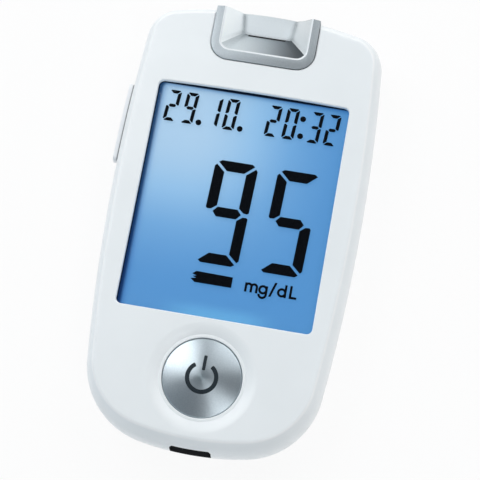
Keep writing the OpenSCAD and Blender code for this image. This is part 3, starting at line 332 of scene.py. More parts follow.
class Shader:
    """A Principled material with its own texture nodes, kept in LOOKS under its name."""

    def __init__(self, name, rough, **sockets):
        self.mat = LOOKS[name] = bpy.data.materials.new(name)
        self.mat.use_nodes = True
        self.tree = self.mat.node_tree
        self.bsdf = self.tree.nodes["Principled BSDF"]
        self.bsdf.inputs["Roughness"].default_value = rough
        for socket, value in sockets.items():
            self.bsdf.inputs[socket.replace("_", " ")].default_value = value
        self.coords = self.node("ShaderNodeTexCoord").outputs["Object"]

    def node(self, kind, **settings):
        n = self.tree.nodes.new(kind)
        for key, value in settings.items():
            if hasattr(n, key):
                setattr(n, key, value)
            else:
                n.inputs[key.replace("_", " ")].default_value = value
        return n

    def link(self, a, b):
        self.tree.links.new(a, b)

    def axes(self):
        """The coordinates one by one, as X, Y and Z."""
        split = self.node("ShaderNodeSeparateXYZ")
        self.link(self.coords, split.inputs[0])
        return split.outputs

    def noise(self, size, detail=3):
        """Noise whose lumps are about this long."""
        n = self.node("ShaderNodeTexNoise", Scale=1 / (size * MM), Detail=detail)
        self.link(self.coords, n.inputs["Vector"])
        return n.outputs["Fac"]

    def ramp(self, fac, *stops):
        r = self.node("ShaderNodeValToRGB")
        while len(r.color_ramp.elements) < len(stops):
            r.color_ramp.elements.new(0.5)
        for e, (place, colour) in zip(r.color_ramp.elements, stops):
            e.position, e.color = place, colour
        self.link(fac, r.inputs["Fac"])
        return r.outputs["Color"]

    def mottled(self, size, low, high, detail=3):
        """Two near tones in lumps of a size."""
        return self.ramp(self.noise(size, detail), (0.3, low), (0.7, high))

    def step(self, value, start, end):
        """Smooth step from 0 to 1 between two lengths, the first of which may be the larger."""
        m = self.node("ShaderNodeMapRange", interpolation_type="SMOOTHSTEP")
        m.inputs["From Min"].default_value, m.inputs["From Max"].default_value = start * MM, end * MM
        self.link(value, m.inputs["Value"])
        return m.outputs["Result"]

    def reach(self, x, y):
        """Distance in plan from a point."""
        flat = self.node("ShaderNodeVectorMath", operation="MULTIPLY")
        flat.inputs[1].default_value = (1, 1, 0)
        self.link(self.coords, flat.inputs[0])
        away = self.node("ShaderNodeVectorMath", operation="DISTANCE")
        away.inputs[1].default_value = (x * MM, y * MM, 0)
        self.link(flat.outputs[0], away.inputs[0])
        return away.outputs["Value"]

    def times(self, a, b):
        """Product of two colours; b may be a constant."""
        mix = self.node("ShaderNodeMix", data_type="RGBA", blend_type="MULTIPLY")
        mix.inputs["Factor"].default_value = 1
        self.link(a, mix.inputs[6])
        if isinstance(b, tuple):
            mix.inputs[7].default_value = b
        else:
            self.link(b, mix.inputs[7])
        return mix.outputs[2]

    def blend(self, share, base, colour):
        """A base that gives way to a constant colour where the share is 1."""
        mix = self.node("ShaderNodeMix", data_type="RGBA")
        self.link(share, mix.inputs["Factor"])
        self.link(base, mix.inputs[6])
        mix.inputs[7].default_value = colour
        return mix.outputs[2]

    def dimmed(self, colour, width):
        """The colour made darker in inner corners over a width, from ambient occlusion: painted shade."""
        ao = self.node("ShaderNodeAmbientOcclusion", samples=8, Distance=width * MM)
        shade = self.ramp(ao.outputs["AO"], (0.8, (0.2, 0.23, 0.25, 1)), (0.96, WHITE))
        return self.times(colour, shade)

    def colour(self, output):
        self.link(output, self.bsdf.inputs["Base Color"])

    def bump(self, height, depth):
        """Bumps as deep as depth where the height is 1."""
        b = self.node("ShaderNodeBump", Strength=1, Distance=depth * MM)
        self.link(height, b.inputs["Height"])
        self.link(b.outputs["Normal"], self.bsdf.inputs["Normal"])

    def rough(self, fac, low, high):
        m = self.node("ShaderNodeMapRange")
        m.inputs["To Min"].default_value, m.inputs["To Max"].default_value = low, high
        self.link(fac, m.inputs["Value"])
        self.link(m.outputs["Result"], self.bsdf.inputs["Roughness"])

    def moulded(self, size, rough, grain, depth):
        """A fine grain, and a gloss that varies in lumps a little smaller than the tone's."""
        self.bump(self.noise(grain), depth)
        self.rough(self.noise(size * 0.6), rough * 0.85, rough * 1.15)


def plain(name, low, high, size, rough, grain, depth, **sockets):
    """A moulded or coated surface: two near colours in lumps, a fine grain and uneven gloss."""
    s = Shader(name, rough, **sockets)
    s.colour(s.mottled(size, srgb(*low), srgb(*high)))
    s.moulded(size, rough, grain, depth)


def cover_material():
    """Glossy white with uneven tone and gloss, and a painted highlight: palest along the crease round the
    face.
    """
    size, rough = 14, 0.3
    s = Shader("white_gloss", rough, Specular_IOR_Level=0.35, Coat_Weight=0.15, Coat_Roughness=0.08)
    height = s.axes()["Z"]
    # Painted highlight: paler just under the face's height, along the crease round the face and round the
    # openings' rounded edges, but not in the dish.
    off_face = s.step(height, BODY_T - 0.02, BODY_T - 0.09)
    off_rim = s.step(height, BODY_T - 0.5, BODY_T - 0.2)
    off_dish = s.step(s.reach(0, BUTTON_Y), DISH_R + 0.5, DISH_R + 1.5)
    crease_highlight = s.times(s.times(off_face, off_rim), off_dish)
    s.colour(s.blend(crease_highlight, s.mottled(size, srgb(236, 241, 243), srgb(240, 245, 247)),
                     srgb(246, 249, 250)))
    s.moulded(size, rough, 0.35, 0.0015)


def lcd_material():
    """Blue panel that glows as if backlit. Its glow is painted lightest towards the upper left and brighter
    near its lower middle, and a painted shadow darkens it along the left and the top, under the cover's
    edge.
    """
    s = Shader("lcd_blue", 0.35, Emission_Strength=0.82)
    axes = s.axes()
    x, y = axes["X"], axes["Y"]
    # Painted light: the glow is lightest towards the upper left.
    glow = s.times(s.step(x, 24, -12), s.step(y, -16, 19))
    lit = s.ramp(glow, (0, srgb(88, 158, 223)), (0.35, srgb(117, 179, 235)),
                 (0.7, srgb(154, 205, 248)), (1, srgb(181, 219, 251)))
    # Painted shadow along the left and the top edge, under the cover's edge.
    off_edge = s.times(s.step(x, -21.25, -18.8), s.step(y, 30.2, 28.2))
    shade = s.ramp(off_edge, (0, (0.02, 0.07, 0.14, 1)), (0.2, (0.06, 0.13, 0.24, 1)),
                   (0.55, (0.6, 0.7, 0.82, 1)), (1, WHITE))
    # Painted light: a brighter glow near the panel's lower middle.
    painted_glow_at_foot = s.times(s.times(s.step(x, -14, -3), s.step(x, 15, 5)), s.step(y, -17, -20.6))
    lit = s.times(lit, s.ramp(painted_glow_at_foot, (0, WHITE), (1, (1.5, 1.4, 1.2, 1))))
    lit = s.times(s.times(lit, shade), s.mottled(0.5, grey(0.97), WHITE))
    s.colour(s.times(lit, grey(0.25)))
    s.link(lit, s.bsdf.inputs["Emission Color"])


def silver(name, low, high, rough, metal, spun=0, hollow=0, fade=None):
    """Satin silver with a fine grain. spun is how far its gloss follows a turned finish round the
    button's middle, which is also darkened there as painted shade; hollow is the width over which its
    inner corners darken as painted shade; and fade gives painted shade at the right and at the left side of
    the trim."""
    s = Shader(name, rough, Metallic=metal, Anisotropic=spun)
    tint = s.mottled(0.3, srgb(*low), srgb(*high), 2)
    # Painted shade: one side of the trim darker than the other.
    if fade:
        right, left = fade
        across = s.step(s.axes()["X"], TRIM_X, -TRIM_X)
        tint = s.times(tint, s.ramp(across, (0, grey(right)), (1, grey(left))))
    # Painted shade in the inner corners.
    if hollow:
        tint = s.dimmed(tint, hollow)
    if spun:
        off_middle = s.reach(0, BUTTON_Y)
        # Painted shade: the cap is darker towards its middle.
        tint = s.times(tint, s.ramp(s.step(off_middle, 0, 2.9), (0, (0.5, 0.53, 0.54, 1)), (1, WHITE)))
        s.rough(s.step(off_middle, 0, 1.6), 1.3 * rough, rough)
        around = s.node("ShaderNodeTangent", direction_type="RADIAL", axis="Z")
        s.link(around.outputs[0], s.bsdf.inputs["Tangent"])
        s.bsdf.inputs["Anisotropic Rotation"].default_value = 0.25
    else:
        s.rough(s.noise(0.4), rough * 0.9, rough * 1.1)
    s.colour(tint)
    s.bump(s.noise(SILVER_GRAIN, 2), SILVER_GRAIN_DEPTH)


def slope_material():
    """The scoop's sloping end: satin silver with painted shade that deepens towards its right side, and
    painted shade in its inner corners.
    """
    s = Shader("slope_silver", 0.32, Metallic=0.5)
    # Painted shade: darker towards the slope's right side.
    across = s.step(s.axes()["X"], -8, 8.5)
    tint = s.ramp(across, (0, srgb(210, 219, 223)), (0.5, srgb(162, 172, 178)), (1, srgb(58, 68, 75)))
    s.colour(s.dimmed(s.times(tint, s.mottled(0.3, grey(0.95), WHITE, 2)), 2.2))
    s.bump(s.noise(SILVER_GRAIN, 2), SILVER_GRAIN_DEPTH)


def key_material():
    """White like the cover, with painted shade where the key dips into its slot."""
    s = Shader("key_white", 0.3)
    white = s.mottled(5, srgb(240, 243, 246), srgb(244, 246, 248))
    # Painted shade: dark where the key dips into its slot.
    proud = s.step(s.reach(-SIDE_MID_X, WIDEST_Y), SIDE_R - 0.15, SIDE_R + 0.18)
    s.colour(s.times(white, s.ramp(proud, (0, (0.2, 0.21, 0.22, 1)), (1, WHITE))))
    s.bump(s.noise(0.12), 0.003)


cover_material()
key_material()
lcd_material()
slope_material()
# Except for the cap, these are one silver in lit and shaded copies for the trim's parts: its scoop's walls
# and its top edge are painted lighter (the edge as a painted highlight), its bed and outer band darker, as
# painted light and shade; fade and hollow add more painted shade.
silver("satin_silver", (176, 185, 191), (186, 195, 200), 0.42, 0.4, fade=(0.68, 1))
silver("floor_silver", (206, 214, 218), (212, 220, 224), 0.36, 0.4, hollow=1.4, fade=(0.98, 0.99))
silver("edge_highlight_silver", (226, 232, 236), (234, 239, 242), 0.3, 0.3)
silver("scoop_silver", (232, 239, 242), (238, 244, 247), 0.32, 0.5, hollow=1.6, fade=(0.81, 1.14))
silver("cap_silver", (187, 199, 206), (197, 208, 214), 0.35, 1, spun=0.68)
# Name, the two tones, size of the lumps, roughness, size and depth of the grain
plain("port_black_and_slot_shade", (16, 18, 22), (24, 27, 32), 1, 0.6, 0.15, 0.004)
plain("dark_print", (22, 34, 41), (30, 42, 50), 0.6, 0.5, 0.1, 0.003, Specular_IOR_Level=0.25)
plain("window_clear", (14, 20, 28), (20, 28, 38), 20, 0.04, 1.2, 0.0005,
      Alpha=0.04, IOR=1.49, Specular_IOR_Level=0.15)
plain("edge_navy", (10, 30, 56), (16, 38, 66), 1, 0.5, 0.2, 0.003, Specular_IOR_Level=0.2)
plain("segment_black", (5, 8, 12), (10, 13, 18), 0.8, 0.5, 0.15, 0.003, Specular_IOR_Level=0.03)
plain("holder_white", (222, 224, 222), (235, 236, 233), 6, 0.5, 0.2, 0.01)
plain("guide_clear", (214, 228, 240), (232, 241, 248), 4, 0.15, 0.3, 0.004)
plain("flex_amber", (178, 108, 32), (202, 132, 48), 2, 0.35, 0.2, 0.01)
plain("led_blue", (225, 232, 214), (240, 243, 226), 0.6, 0.3, 0.1, 0.004)
plain("rubber_grey", (88, 90, 92), (106, 108, 110), 0.5, 0.75, 0.12, 0.01)
plain("board_green", (18, 74, 48), (28, 96, 62), 1.4, 0.35, 0.18, 0.01)
plain("chip_black", (26, 27, 29), (38, 39, 42), 0.8, 0.6, 0.1, 0.008)
plain("ceramic_tan", (168, 140, 104), (190, 162, 124), 0.5, 0.5, 0.08, 0.006)
plain("connector_ivory", (224, 215, 192), (236, 229, 208), 1.5, 0.45, 0.15, 0.006)
plain("contact_gold", (212, 168, 86), (228, 186, 104), 0.8, 0.25, 0.1, 0.003, Metallic=1)
plain("steel_bright", (196, 200, 204), (212, 216, 219), 2, 0.22, 0.1, 0.003, Metallic=1)
plain("screw_dark", (92, 94, 98), (118, 120, 124), 0.6, 0.35, 0.08, 0.005, Metallic=1)
plain("tongue_black", (20, 21, 23), (32, 33, 35), 0.8, 0.5, 0.1, 0.006)


def dress(obj, *looks):
    """Gives an object its materials; the first covers it all until faces are given others."""
    obj.data.materials.clear()
    for look in looks:
        obj.data.materials.append(LOOKS[look])


# ------------------------------------------------------------------ covers

FINE = 2
FACE_DEPTHS = [9, 8.3, 7.6, 7, 6.3, 5.6, 5, 4.4, 3.8, 3.2, 2.7, 2.2, 1.8, 1.4, 1.05, 0.75, 0.5, 0.35]
CREASE_SHARES = [0, 0.15, 0.3, 0.45, 0.6, 0.75, 0.9, 1]
BACK_SHARES = [0.98, 0.9, 0.8, 0.68, 0.56, 0.45, 0.35, 0.26, 0.18, 0.12, 0.075, 0.042, 0.02, 0.008, 0.002, 0]
SEAM_GAP, FRONT_TUCK, BACK_TUCK = 0.12, (0.9965, 0.998), (0.993, 0.996)
DISH_FLOOR_R, DISH_FLOOR_Z0, DISH_FLOOR_Z1 = 10.4, 14.05, 15.01
OPENING_ROUND, SLOT_ROUND, TRIM_GAP = 0.3, 0.45, 0.08
DISH_BEND, RING_STEP, HOLE_ROUND, DISH_FOOT_SLOPE = 1.7, 0.03, 0.2, 0.56


def screen_plan(grow, r, z):
    """The screen's outline, whose upper edge bows up a little towards its middle."""
    ring = rounded(-SCREEN_X - grow, SCREEN_Y0 - grow, SCREEN_X + grow, SCREEN_Y1 + grow, r, z)
    corner = ring.index(max(ring, key=lambda p: p[1]))
    top = [(x, SCREEN_Y1 + grow, z) for x in [(SCREEN_X + grow - r) * (1 - i / 8) for i in range(1, 16)]]
    ring = ring[:corner + 1] + top + ring[corner + 1:]
    return [(x, y + SCREEN_BOW * (1 - (x / SCREEN_X) ** 2) if y > SCREEN_Y1 + grow - 0.01 else y, z)
            for x, y, z in ring]


def screen_opening():
    """The screen opening, flared at the face so that its edge is rounded."""
    r = OPENING_ROUND
    levels = [(6, 0), (BODY_T - r, 0)]
    levels += [(BODY_T - r + r * math.sin(a), r - r * math.cos(a)) for a in (0.4, 0.8, 1.15, 1.45)]
    return loft("cut", [screen_plan(e, SCREEN_R + e, z) for z, e in levels + [(OVER, 1.4)]])


def dish_z(r):
    """Height of the dish round the button: its slope, then the ring round the button's hole."""
    if r > DISH_R:
        return BODY_T + 0.4 * (r - DISH_R)
    if r > RING_R:
        return BODY_T - DISH_DEPTH * ((DISH_R - r) / (DISH_R - RING_R)) ** DISH_BEND
    u = max(0, min(1, (HOLE_R + HOLE_ROUND - r) / HOLE_ROUND))
    return BODY_T - DISH_DEPTH + RING_STEP - HOLE_ROUND * (1 - math.sqrt(1 - u * u))


def dish_rule(point, facing):
    """Normal of a point on the dish's slope."""
    r = math.hypot(point.x / MM, point.y / MM - BUTTON_Y)
    if not RING_R < r + 0.001 < DISH_R + 0.05 or facing.z < 0.5:
        return None
    height = dish_z(min(r, DISH_R))
    if abs(point.z / MM - height) > 0.05:
        return None
    slope = DISH_FOOT_SLOPE
    if r > RING_R + 0.03:
        slope = (height - dish_z(max(r - 0.02, RING_R + 0.001))) / 0.02
    away = Vector((point.x / MM, point.y / MM - BUTTON_Y, 0)).normalized()
    return Vector((-slope * away.x, -slope * away.y, 1)).normalized()


def dish_opening():
    """The dish and the button's hole under it."""
    top, foot = 20, 12
    radii = [DISH_R + 1.5, DISH_R + 0.2, DISH_R - 0.05]
    radii += [DISH_R - (DISH_R - RING_R) * i / 14 for i in range(1, 14)] + [RING_R + 0.001, RING_R - 0.08]
    radii += [HOLE_R + HOLE_ROUND, HOLE_R + 0.13, HOLE_R + 0.07, HOLE_R + 0.03, HOLE_R]
    profile = [(0, top), (radii[0], top)] + [(r, dish_z(r)) for r in radii] + [(HOLE_R, foot), (0, foot)]
    return revolve("cut", profile, 0, BUTTON_Y)


def front_inside():
    """The space inside the front cover."""
    rings = []
    for z in [5, SPLIT_Z, BELT_Z, 9, 11, 12.8, 14, 14.7, 15]:
        ring = skin(max(z, SPLIT_Z), WALL) if z < BELT_Z else skin(z, WALL, LIP, INNER_TURN)
        rings.append([(p[0], p[1], z) for p in ring])
    return loft("cut", rings)


def trim_slot():
    """The slot for the strip port's trim, flared at the face."""
    r, gap = SLOT_ROUND, TRIM_GAP
    levels = [(TRIM_Z - 0.05, gap), (BODY_T - r, gap)]
    levels += [(BODY_T - r * (1 - math.sin(a)), gap + r * (1 - math.cos(a))) for a in (0.4, 0.8, 1.2)]
    return loft("cut", [rounded(-TRIM_X - e, TRIM_Y - e, TRIM_X + e, FAR, TRIM_CORNER + e, z)
                        for z, e in levels + [(OVER, 1.2)]])


def key_slot():
    half_l, half_h = KEY_L / 2 + KEY_GAP_Y, KEY_H / 2 + KEY_GAP_Z
    plan = rounded(-half_l, -half_h, half_l, half_h, KEY_CORNER, 0)
    inner_x = side_at(KEY_Y) - WALL - 1
    return loft("cut", [[(x, KEY_Y + a, KEY_Z + b) for a, b, _ in plan] for x in (-FAR, -inner_x)])


def data_port():
    ys = BOTTOM_Y - 4, BOTTOM_Y + 4.5
    return loft("cut", [[(x, y, z) for x, z in PORT_PLAN] for y in ys])


def edge_notch():
    inner_x = side_at((NOTCH_Y0 + NOTCH_Y1) / 2) - NOTCH_DEPTH
    return block((inner_x, NOTCH_Y0, NOTCH_Z0), (FAR, NOTCH_Y1, NOTCH_Z1))


def in_dark_opening(face):
    """Whether a face lines the data port, the notch or the key's slot, which are made black: the port's
    lining like its black socket, the notch and the key's slot as painted shade.
    """
    x, y, z = (c / MM for c in face.center)
    if abs(x) < 5 and y < -44 and 8 < z < 13.1 and abs(face.normal.y) < 0.5:
        return True
    if x > 24 and NOTCH_Y0 - 0.05 < y < NOTCH_Y1 + 0.05 and z < NOTCH_Z1 + 0.05 and x < side_at(y) - 0.02:
        return True
    return x < -24.5 and abs(y - KEY_Y) < 9.3 and abs(z - KEY_Z) < 2 and abs(face.normal.x) < 0.5


def tucked(ring, shares):
    """The ring at the seam, drawn in so that the seam shows as a fine groove."""
    return [(x * shares[0], y * shares[1], SPLIT_Z) for x, y, _ in ring]


def front_shell():
    rings = [skin(BODY_T - d, fine=FINE) for d in FACE_DEPTHS]
    rings += [crease(share, FINE) for share in CREASE_SHARES]
    lowest = tucked(rings[0], FRONT_TUCK)
    seam = [(x, y, SPLIT_Z + SEAM_GAP) for x, y, _ in rings[0]]
    rings = [lowest, seam] + rings[1:]
    shell = loft("front_shell", rings)
    # Without its floor the dish would break through into the space inside
    dish_floor = rod(DISH_FLOOR_R, DISH_FLOOR_Z0, DISH_FLOOR_Z1, 0, BUTTON_Y)
    carve(shell, ("DIFFERENCE", front_inside()), ("UNION", dish_floor))
    cut(shell, screen_opening(), dish_opening(), trim_slot(), key_slot(), data_port(), edge_notch())
    tidy(shell)
    smooth(shell, 35, (dish_rule, skin_rule(rings[1:])))
    dress(shell, "white_gloss", "port_black_and_slot_shade")
    # Black linings: the data port's like its socket, and painted shade in the notch and the key's slot.
    for face in shell.data.polygons:
        if in_dark_opening(face):
            face.material_index = 1
    replace_node(shell, "case", "white_gloss", "front_cover")


def back_shell():
    rings = [skin(SPLIT_Z * s, fine=FINE) for s in BACK_SHARES]
    shell = loft("back_shell", [tucked(rings[0], BACK_TUCK)] + rings)
    levels = [FLOOR, FLOOR + 0.5, FLOOR + 1.5, FLOOR + 3.2, SPLIT_Z, 8]
    inside = [[(p[0], p[1], z) for p in skin(min(z, SPLIT_Z) - FLOOR, WALL)] for z in levels]
    bay = block((-BAY_X, BAY_Y0, FLOOR - 0.01), (BAY_X, BAY_Y1, BAY_TOP))
    carve(shell, ("DIFFERENCE", loft("cut", inside)), ("UNION", bay))
    hollows = []
    for y in CELL_YS:
        hollows.append(rod(CELL_R, UNDER, CELL_Z, 0, y))
        hollows.append(block((CLIP_X0, y - CLIP_HALF, UNDER), (CLIP_X1, y + CLIP_HALF, CELL_Z)))
    hollows.append(block((-CELL_LINK_X, CELL_YS[0], UNDER), (CELL_LINK_X, CELL_YS[1], CELL_Z)))
    hollows.append(block((-DOOR_X, DOOR_Y0, UNDER), (DOOR_X, DOOR_Y1, DOOR_Z)))
    hollows.append(block((-DOOR_X, HINGE_Y, UNDER), (DOOR_X, DOOR_Y1, HINGE_Z)))
    hollows.append(rod(FINGER_R, UNDER, FINGER_Z, 0, DOOR_Y0))
    hollows += [rod(SCREW_BORE_R, UNDER, SCREW_BORE_Z, x, y, 48) for x, y in SCREWS]
    cut(shell, *hollows)
    tidy(shell)
    smooth(shell, 35, (skin_rule(rings),))
    dress(shell, "white_gloss")
    replace_node(shell, "case", "white_gloss", "back_cover")


# ------------------------------------------------------------------ strip port trim

SCOOP_DEPTH, TRIM_ROUND = 5.5, 0.32
# Half width of the scoop and where its slope lies, at its bed and at its rim
BED_X, BED_Y, RIM_X, RIM_Y = 5.4, TRIM_Y + 8.25, 10, TRIM_Y + 1.76
# Material indices on the trim; 0 is its plain silver. The others give its parts lit and shaded copies of
# that silver, as painted light and shade, and SLOT blackens the strip slot's inside as painted shade.
SCOOP, SLOPE, SLOT, BED, EDGE = 1, 2, 3, 4, 5


def u_plan(x, y0, y1, r, z, steps=8):
    """Ring of a U that is open towards the top end, closed by a straight line there."""
    ring = [(x, y1, z)]
    for i in range(steps + 1):
        t = math.radians(90 * i / steps)
        ring.append((x - r + r * math.cos(t), y0 + r - r * math.sin(t), z))
    for i in range(steps + 1):
        t = math.radians(90 * i / steps)
        ring.append((-x + r - r * math.sin(t), y0 + r - r * math.cos(t), z))
    return ring + [(-x, y1, z)]


def trim_part(face):
    """Material index of a face of the trim."""
    x, y, z = (c / MM for c in face.center)
    # Painted shade: the strip slot's inside is black.
    if abs(x) < 4.25 and y < 45.2 and 10.51 < z < 11:
        return SLOT
    if abs(z - (BODY_T - SCOOP_DEPTH)) < 0.01:
        return BED
    if abs(x) < 10.3 and y > TRIM_Y + 1.9 and z > 10 and 0.05 < face.normal.z < 0.995:
        if z > 15.8:
            return EDGE
        return SLOPE if face.normal.y > 0.3 else SCOOP
    return 0


def strip_trim():
    past = TOP_Y + 4
    trim = loft("strip_trim", [u_plan(TRIM_X, TRIM_Y, past, TRIM_CORNER, z) for z in (TRIM_Z, TRIM_TOP)])
    # The end face follows the body's top end and leans a little
    ends = [[(p.x, p.y, z) for p in outline(0, lean - TRIM_PROUD, 0)]
            for z, lean in ((TRIM_Z - 1, 0), (TRIM_Z, 0), (TRIM_TOP + 1, 0.9))]
    bed = u_plan(BED_X, BED_Y, past + 1, 0.5, BODY_T - SCOOP_DEPTH, 6)
    length = TOP_Y + TRIM_PROUD - BED_Y
    bed = [(x + math.copysign(0.6 * max(0, y - BED_Y) / length, x), y, z) for x, y, z in bed]
    crown = u_plan(RIM_X, RIM_Y, past + 1, 2.4, TRIM_TOP + 0.35, 6)
    brink = [tuple(Vector(a).lerp(Vector(b), 0.88)) for a, b in zip(bed, crown)]
    carve(trim, ("INTERSECT", loft("cut", ends)), ("DIFFERENCE", loft("cut", [bed, brink, crown])))
    tidy(trim)
    bevel = trim.modifiers.new("edges", "BEVEL")
    bevel.width, bevel.segments, bevel.limit_method = TRIM_ROUND * MM, 3, "ANGLE"
    bevel.angle_limit = math.radians(28)
    applied(trim)
    cut(trim, block(*STRIP_SLOT))
    tidy(trim)
    smooth(trim, 32)
    dress(trim, "satin_silver", "scoop_silver", "slope_silver", "port_black_and_slot_shade", "floor_silver", "edge_highlight_silver")
    for face in trim.data.polygons:
        face.material_index = trim_part(face)
    replace_node(trim, "case", "satin_silver", "strip_port_trim")


# ------------------------------------------------------------------ power button

DOME_R = (BUTTON_R ** 2 + DOME_H ** 2) / (2 * DOME_H)
CAP_ROUND, FLANGE_R, FLANGE_Z0, FLANGE_Z1 = 0.28, 9.5, 13.45, 13.95
RING_OUTER_R, RING_STROKE, RING_GAP = 3.5, 0.9, math.radians(36)
BAR_X, BAR_HALF, BAR_Y0, BAR_Y1 = 0.1, 0.34, 1.6, 4.62
STROKE_SWELL, MARK_TOP, MARK_FOOT = 0.1, 0.035, -0.12


def dome_z(r):
    return BODY_T - DOME_R + math.sqrt(DOME_R ** 2 - r * r)


def power_cap():
    edge, r = CAP_ROUND, BUTTON_R
    profile = [(0, BODY_T)] + [(r * i / 24, dome_z(r * i / 24)) for i in range(1, 23)]
    profile.append((r - edge, dome_z(r - edge)))
    z0 = dome_z(r - edge) - edge
    turns = (0.5, 0.8, 1.1, 1.35, math.pi / 2)
    profile += [(r - edge + edge * math.sin(a), z0 + edge * math.cos(a)) for a in turns]
    profile += [(r, FLANGE_Z1), (FLANGE_R, FLANGE_Z1), (FLANGE_R, FLANGE_Z0), (0, FLANGE_Z0)]
    cap = revolve("power_cap", profile, 0, BUTTON_Y)
    smooth(cap, 40)
    dress(cap, "cap_silver")
    replace_node(cap, "power_button", "satin_silver", "power_button")


def power_mark():
    """Ring and bar on the dome, each a thin slab with rounded ends that follows the cap."""
    verts, faces = [], []

    def slab(point, us, vs):
        """A patch over us and vs with a lower layer and side walls."""
        n, m, start = len(us), len(vs), len(verts)
        for layer in (MARK_TOP, MARK_FOOT):
            for u in us:
                for v in vs:
                    x, y = point(u, v)
                    verts.append((x, BUTTON_Y + y, dome_z(math.hypot(x, y)) + layer))

        def at(i, j, layer):
            return start + layer * n * m + i * m + j

        def quad(*corners):
            faces.append(tuple(at(*corner) for corner in corners))
        for i in range(n - 1):
            for j in range(m - 1):
                for k in (0, 1):
                    quad((i, j, k), (i + 1, j, k), (i + 1, j + 1, k), (i, j + 1, k))
        for i in range(n - 1):
            for j in (0, m - 1):
                quad((i, j, 0), (i + 1, j, 0), (i + 1, j, 1), (i, j, 1))
        for j in range(m - 1):
            for i in (0, n - 1):
                quad((i, j, 0), (i, j + 1, 0), (i, j + 1, 1), (i, j, 1))

    mid, half = RING_OUTER_R - RING_STROKE / 2, RING_STROKE / 2
    across = [i / 4 for i in range(-4, 5)]

    def swell(u, v):
        """How far a stroke's end bulges past its straight cut."""
        return STROKE_SWELL * (1 - v * v) * (1 if u > 0.99 else (-1 if u < -0.99 else 0))

    def ring_point(u, v):
        t = math.pi + (math.pi - RING_GAP) * u + swell(u, v) / mid
        return (mid + v * half) * math.sin(t), (mid + v * half) * math.cos(t)

    def bar_point(u, v):
        return BAR_X + BAR_HALF * v, BAR_Y0 + (BAR_Y1 - BAR_Y0) * (u + 1) / 2 + swell(u, v)

    slab(ring_point, [i / 48 for i in range(-48, 49)], across)
    slab(bar_point, [i / 6 for i in range(-6, 7)], across)
    mark = add("power_mark", verts, faces)
    smooth(mark, 30)
    dress(mark, "dark_print")
    replace_node(mark, "power_button", "dark_print", "power_symbol")


# ------------------------------------------------------------------ display

SHEET_T, SHEET_GAP = 0.6, 0.02
MASK_Z0, MASK_Z1, MASK_OUT = 14.02, 14.19, 1.2


def lcd_panel():
    """Blue panel with a clear sheet over it that carries the digits."""
    low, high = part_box("lcd_glass")
    x0, y0, z0 = (c / MM for c in low)
    x1, y1, z1 = (c / MM for c in high)

    def plate(name, bottom, top):
        return loft(name, [rounded(x0, y0, x1, y1, 0.3, z, 3) for z in (bottom, top)])
    panel = plate("lcd_panel", z0, z1 - SHEET_T - SHEET_GAP)
    sheet = plate("lcd_sheet", z1 - SHEET_T, z1)
    dress(panel, "lcd_blue")
    dress(sheet, "window_clear")
    replace_node(panel, "case", "lcd_blue", "lcd_glass")
    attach(sheet, "case")


def screen_edge_shade():
    """Dark navy ring on the window's underside that shows along the left and the top: painted shade under
    the cover's edge.
    """
    out = MASK_OUT
    outer = rounded(-SCREEN_X - out, SCREEN_Y0 - out, SCREEN_X + out, SCREEN_Y1 + out, 1.6, 0)
    inner = rounded(-SCREEN_X + 0.1, SCREEN_Y0 - 0.1, SCREEN_X + 0.1, SCREEN_Y1 + 0.05, 0.9, 0)
    n = len(outer)
    verts = [(p[0], p[1], z) for z in (MASK_Z0, MASK_Z1) for ring in (outer, inner) for p in ring]
    faces = []
    for i in range(n):
        j = (i + 1) % n
        faces += [(i, j, n + j, n + i), (2 * n + i, 2 * n + j, 3 * n + j, 3 * n + i),
                  (i, j, 2 * n + j, 2 * n + i), (n + i, n + j, 3 * n + j, 3 * n + i)]
    mask = add("screen_edge_shade", verts, faces)
    smooth(mask, 30)
    dress(mask, "edge_navy")
    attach(mask, "case")


# ------------------------------------------------------------------ pieces that stay as in the CAD

def soften(node, width):
    """Rounds a CAD node's edges with modifiers alone."""
    obj = frame["nodes"][node]
    weld = obj.modifiers.new("weld", "WELD")
    weld.merge_threshold = 1e-6
    bevel = obj.modifiers.new("edges", "BEVEL")
    bevel.width, bevel.segments, bevel.limit_method = width * MM, 3, "ANGLE"
    bevel.angle_limit = math.radians(35)
    bevel.harden_normals = True


for part in frame["record"]["subparts"]:
    dress(frame["nodes"][part["node"]], part["material_slot"])

front_shell()
back_shell()
strip_trim()
power_cap()
power_mark()
lcd_panel()
screen_edge_shade()
soften("side_key", 0.3)
soften("battery_door", 0.18)


# ------------------------------------------------------------------ floor, light and camera

FLOOR_R, FLOOR_SIDES, FLOOR_GLOW = 3000, 64, 0.9
WORLD_LOW, WORLD_HIGH = (0.955, 0.96, 0.965, 1), (0.09, 0.1, 0.115, 1)
SIDE_LIGHT = (-0.25, 0.04, 0)
SHADE_SIDE, SHADE_TINT = (-0.76, -0.65, 0.05), (0.3, 0.39, 0.46, 1)


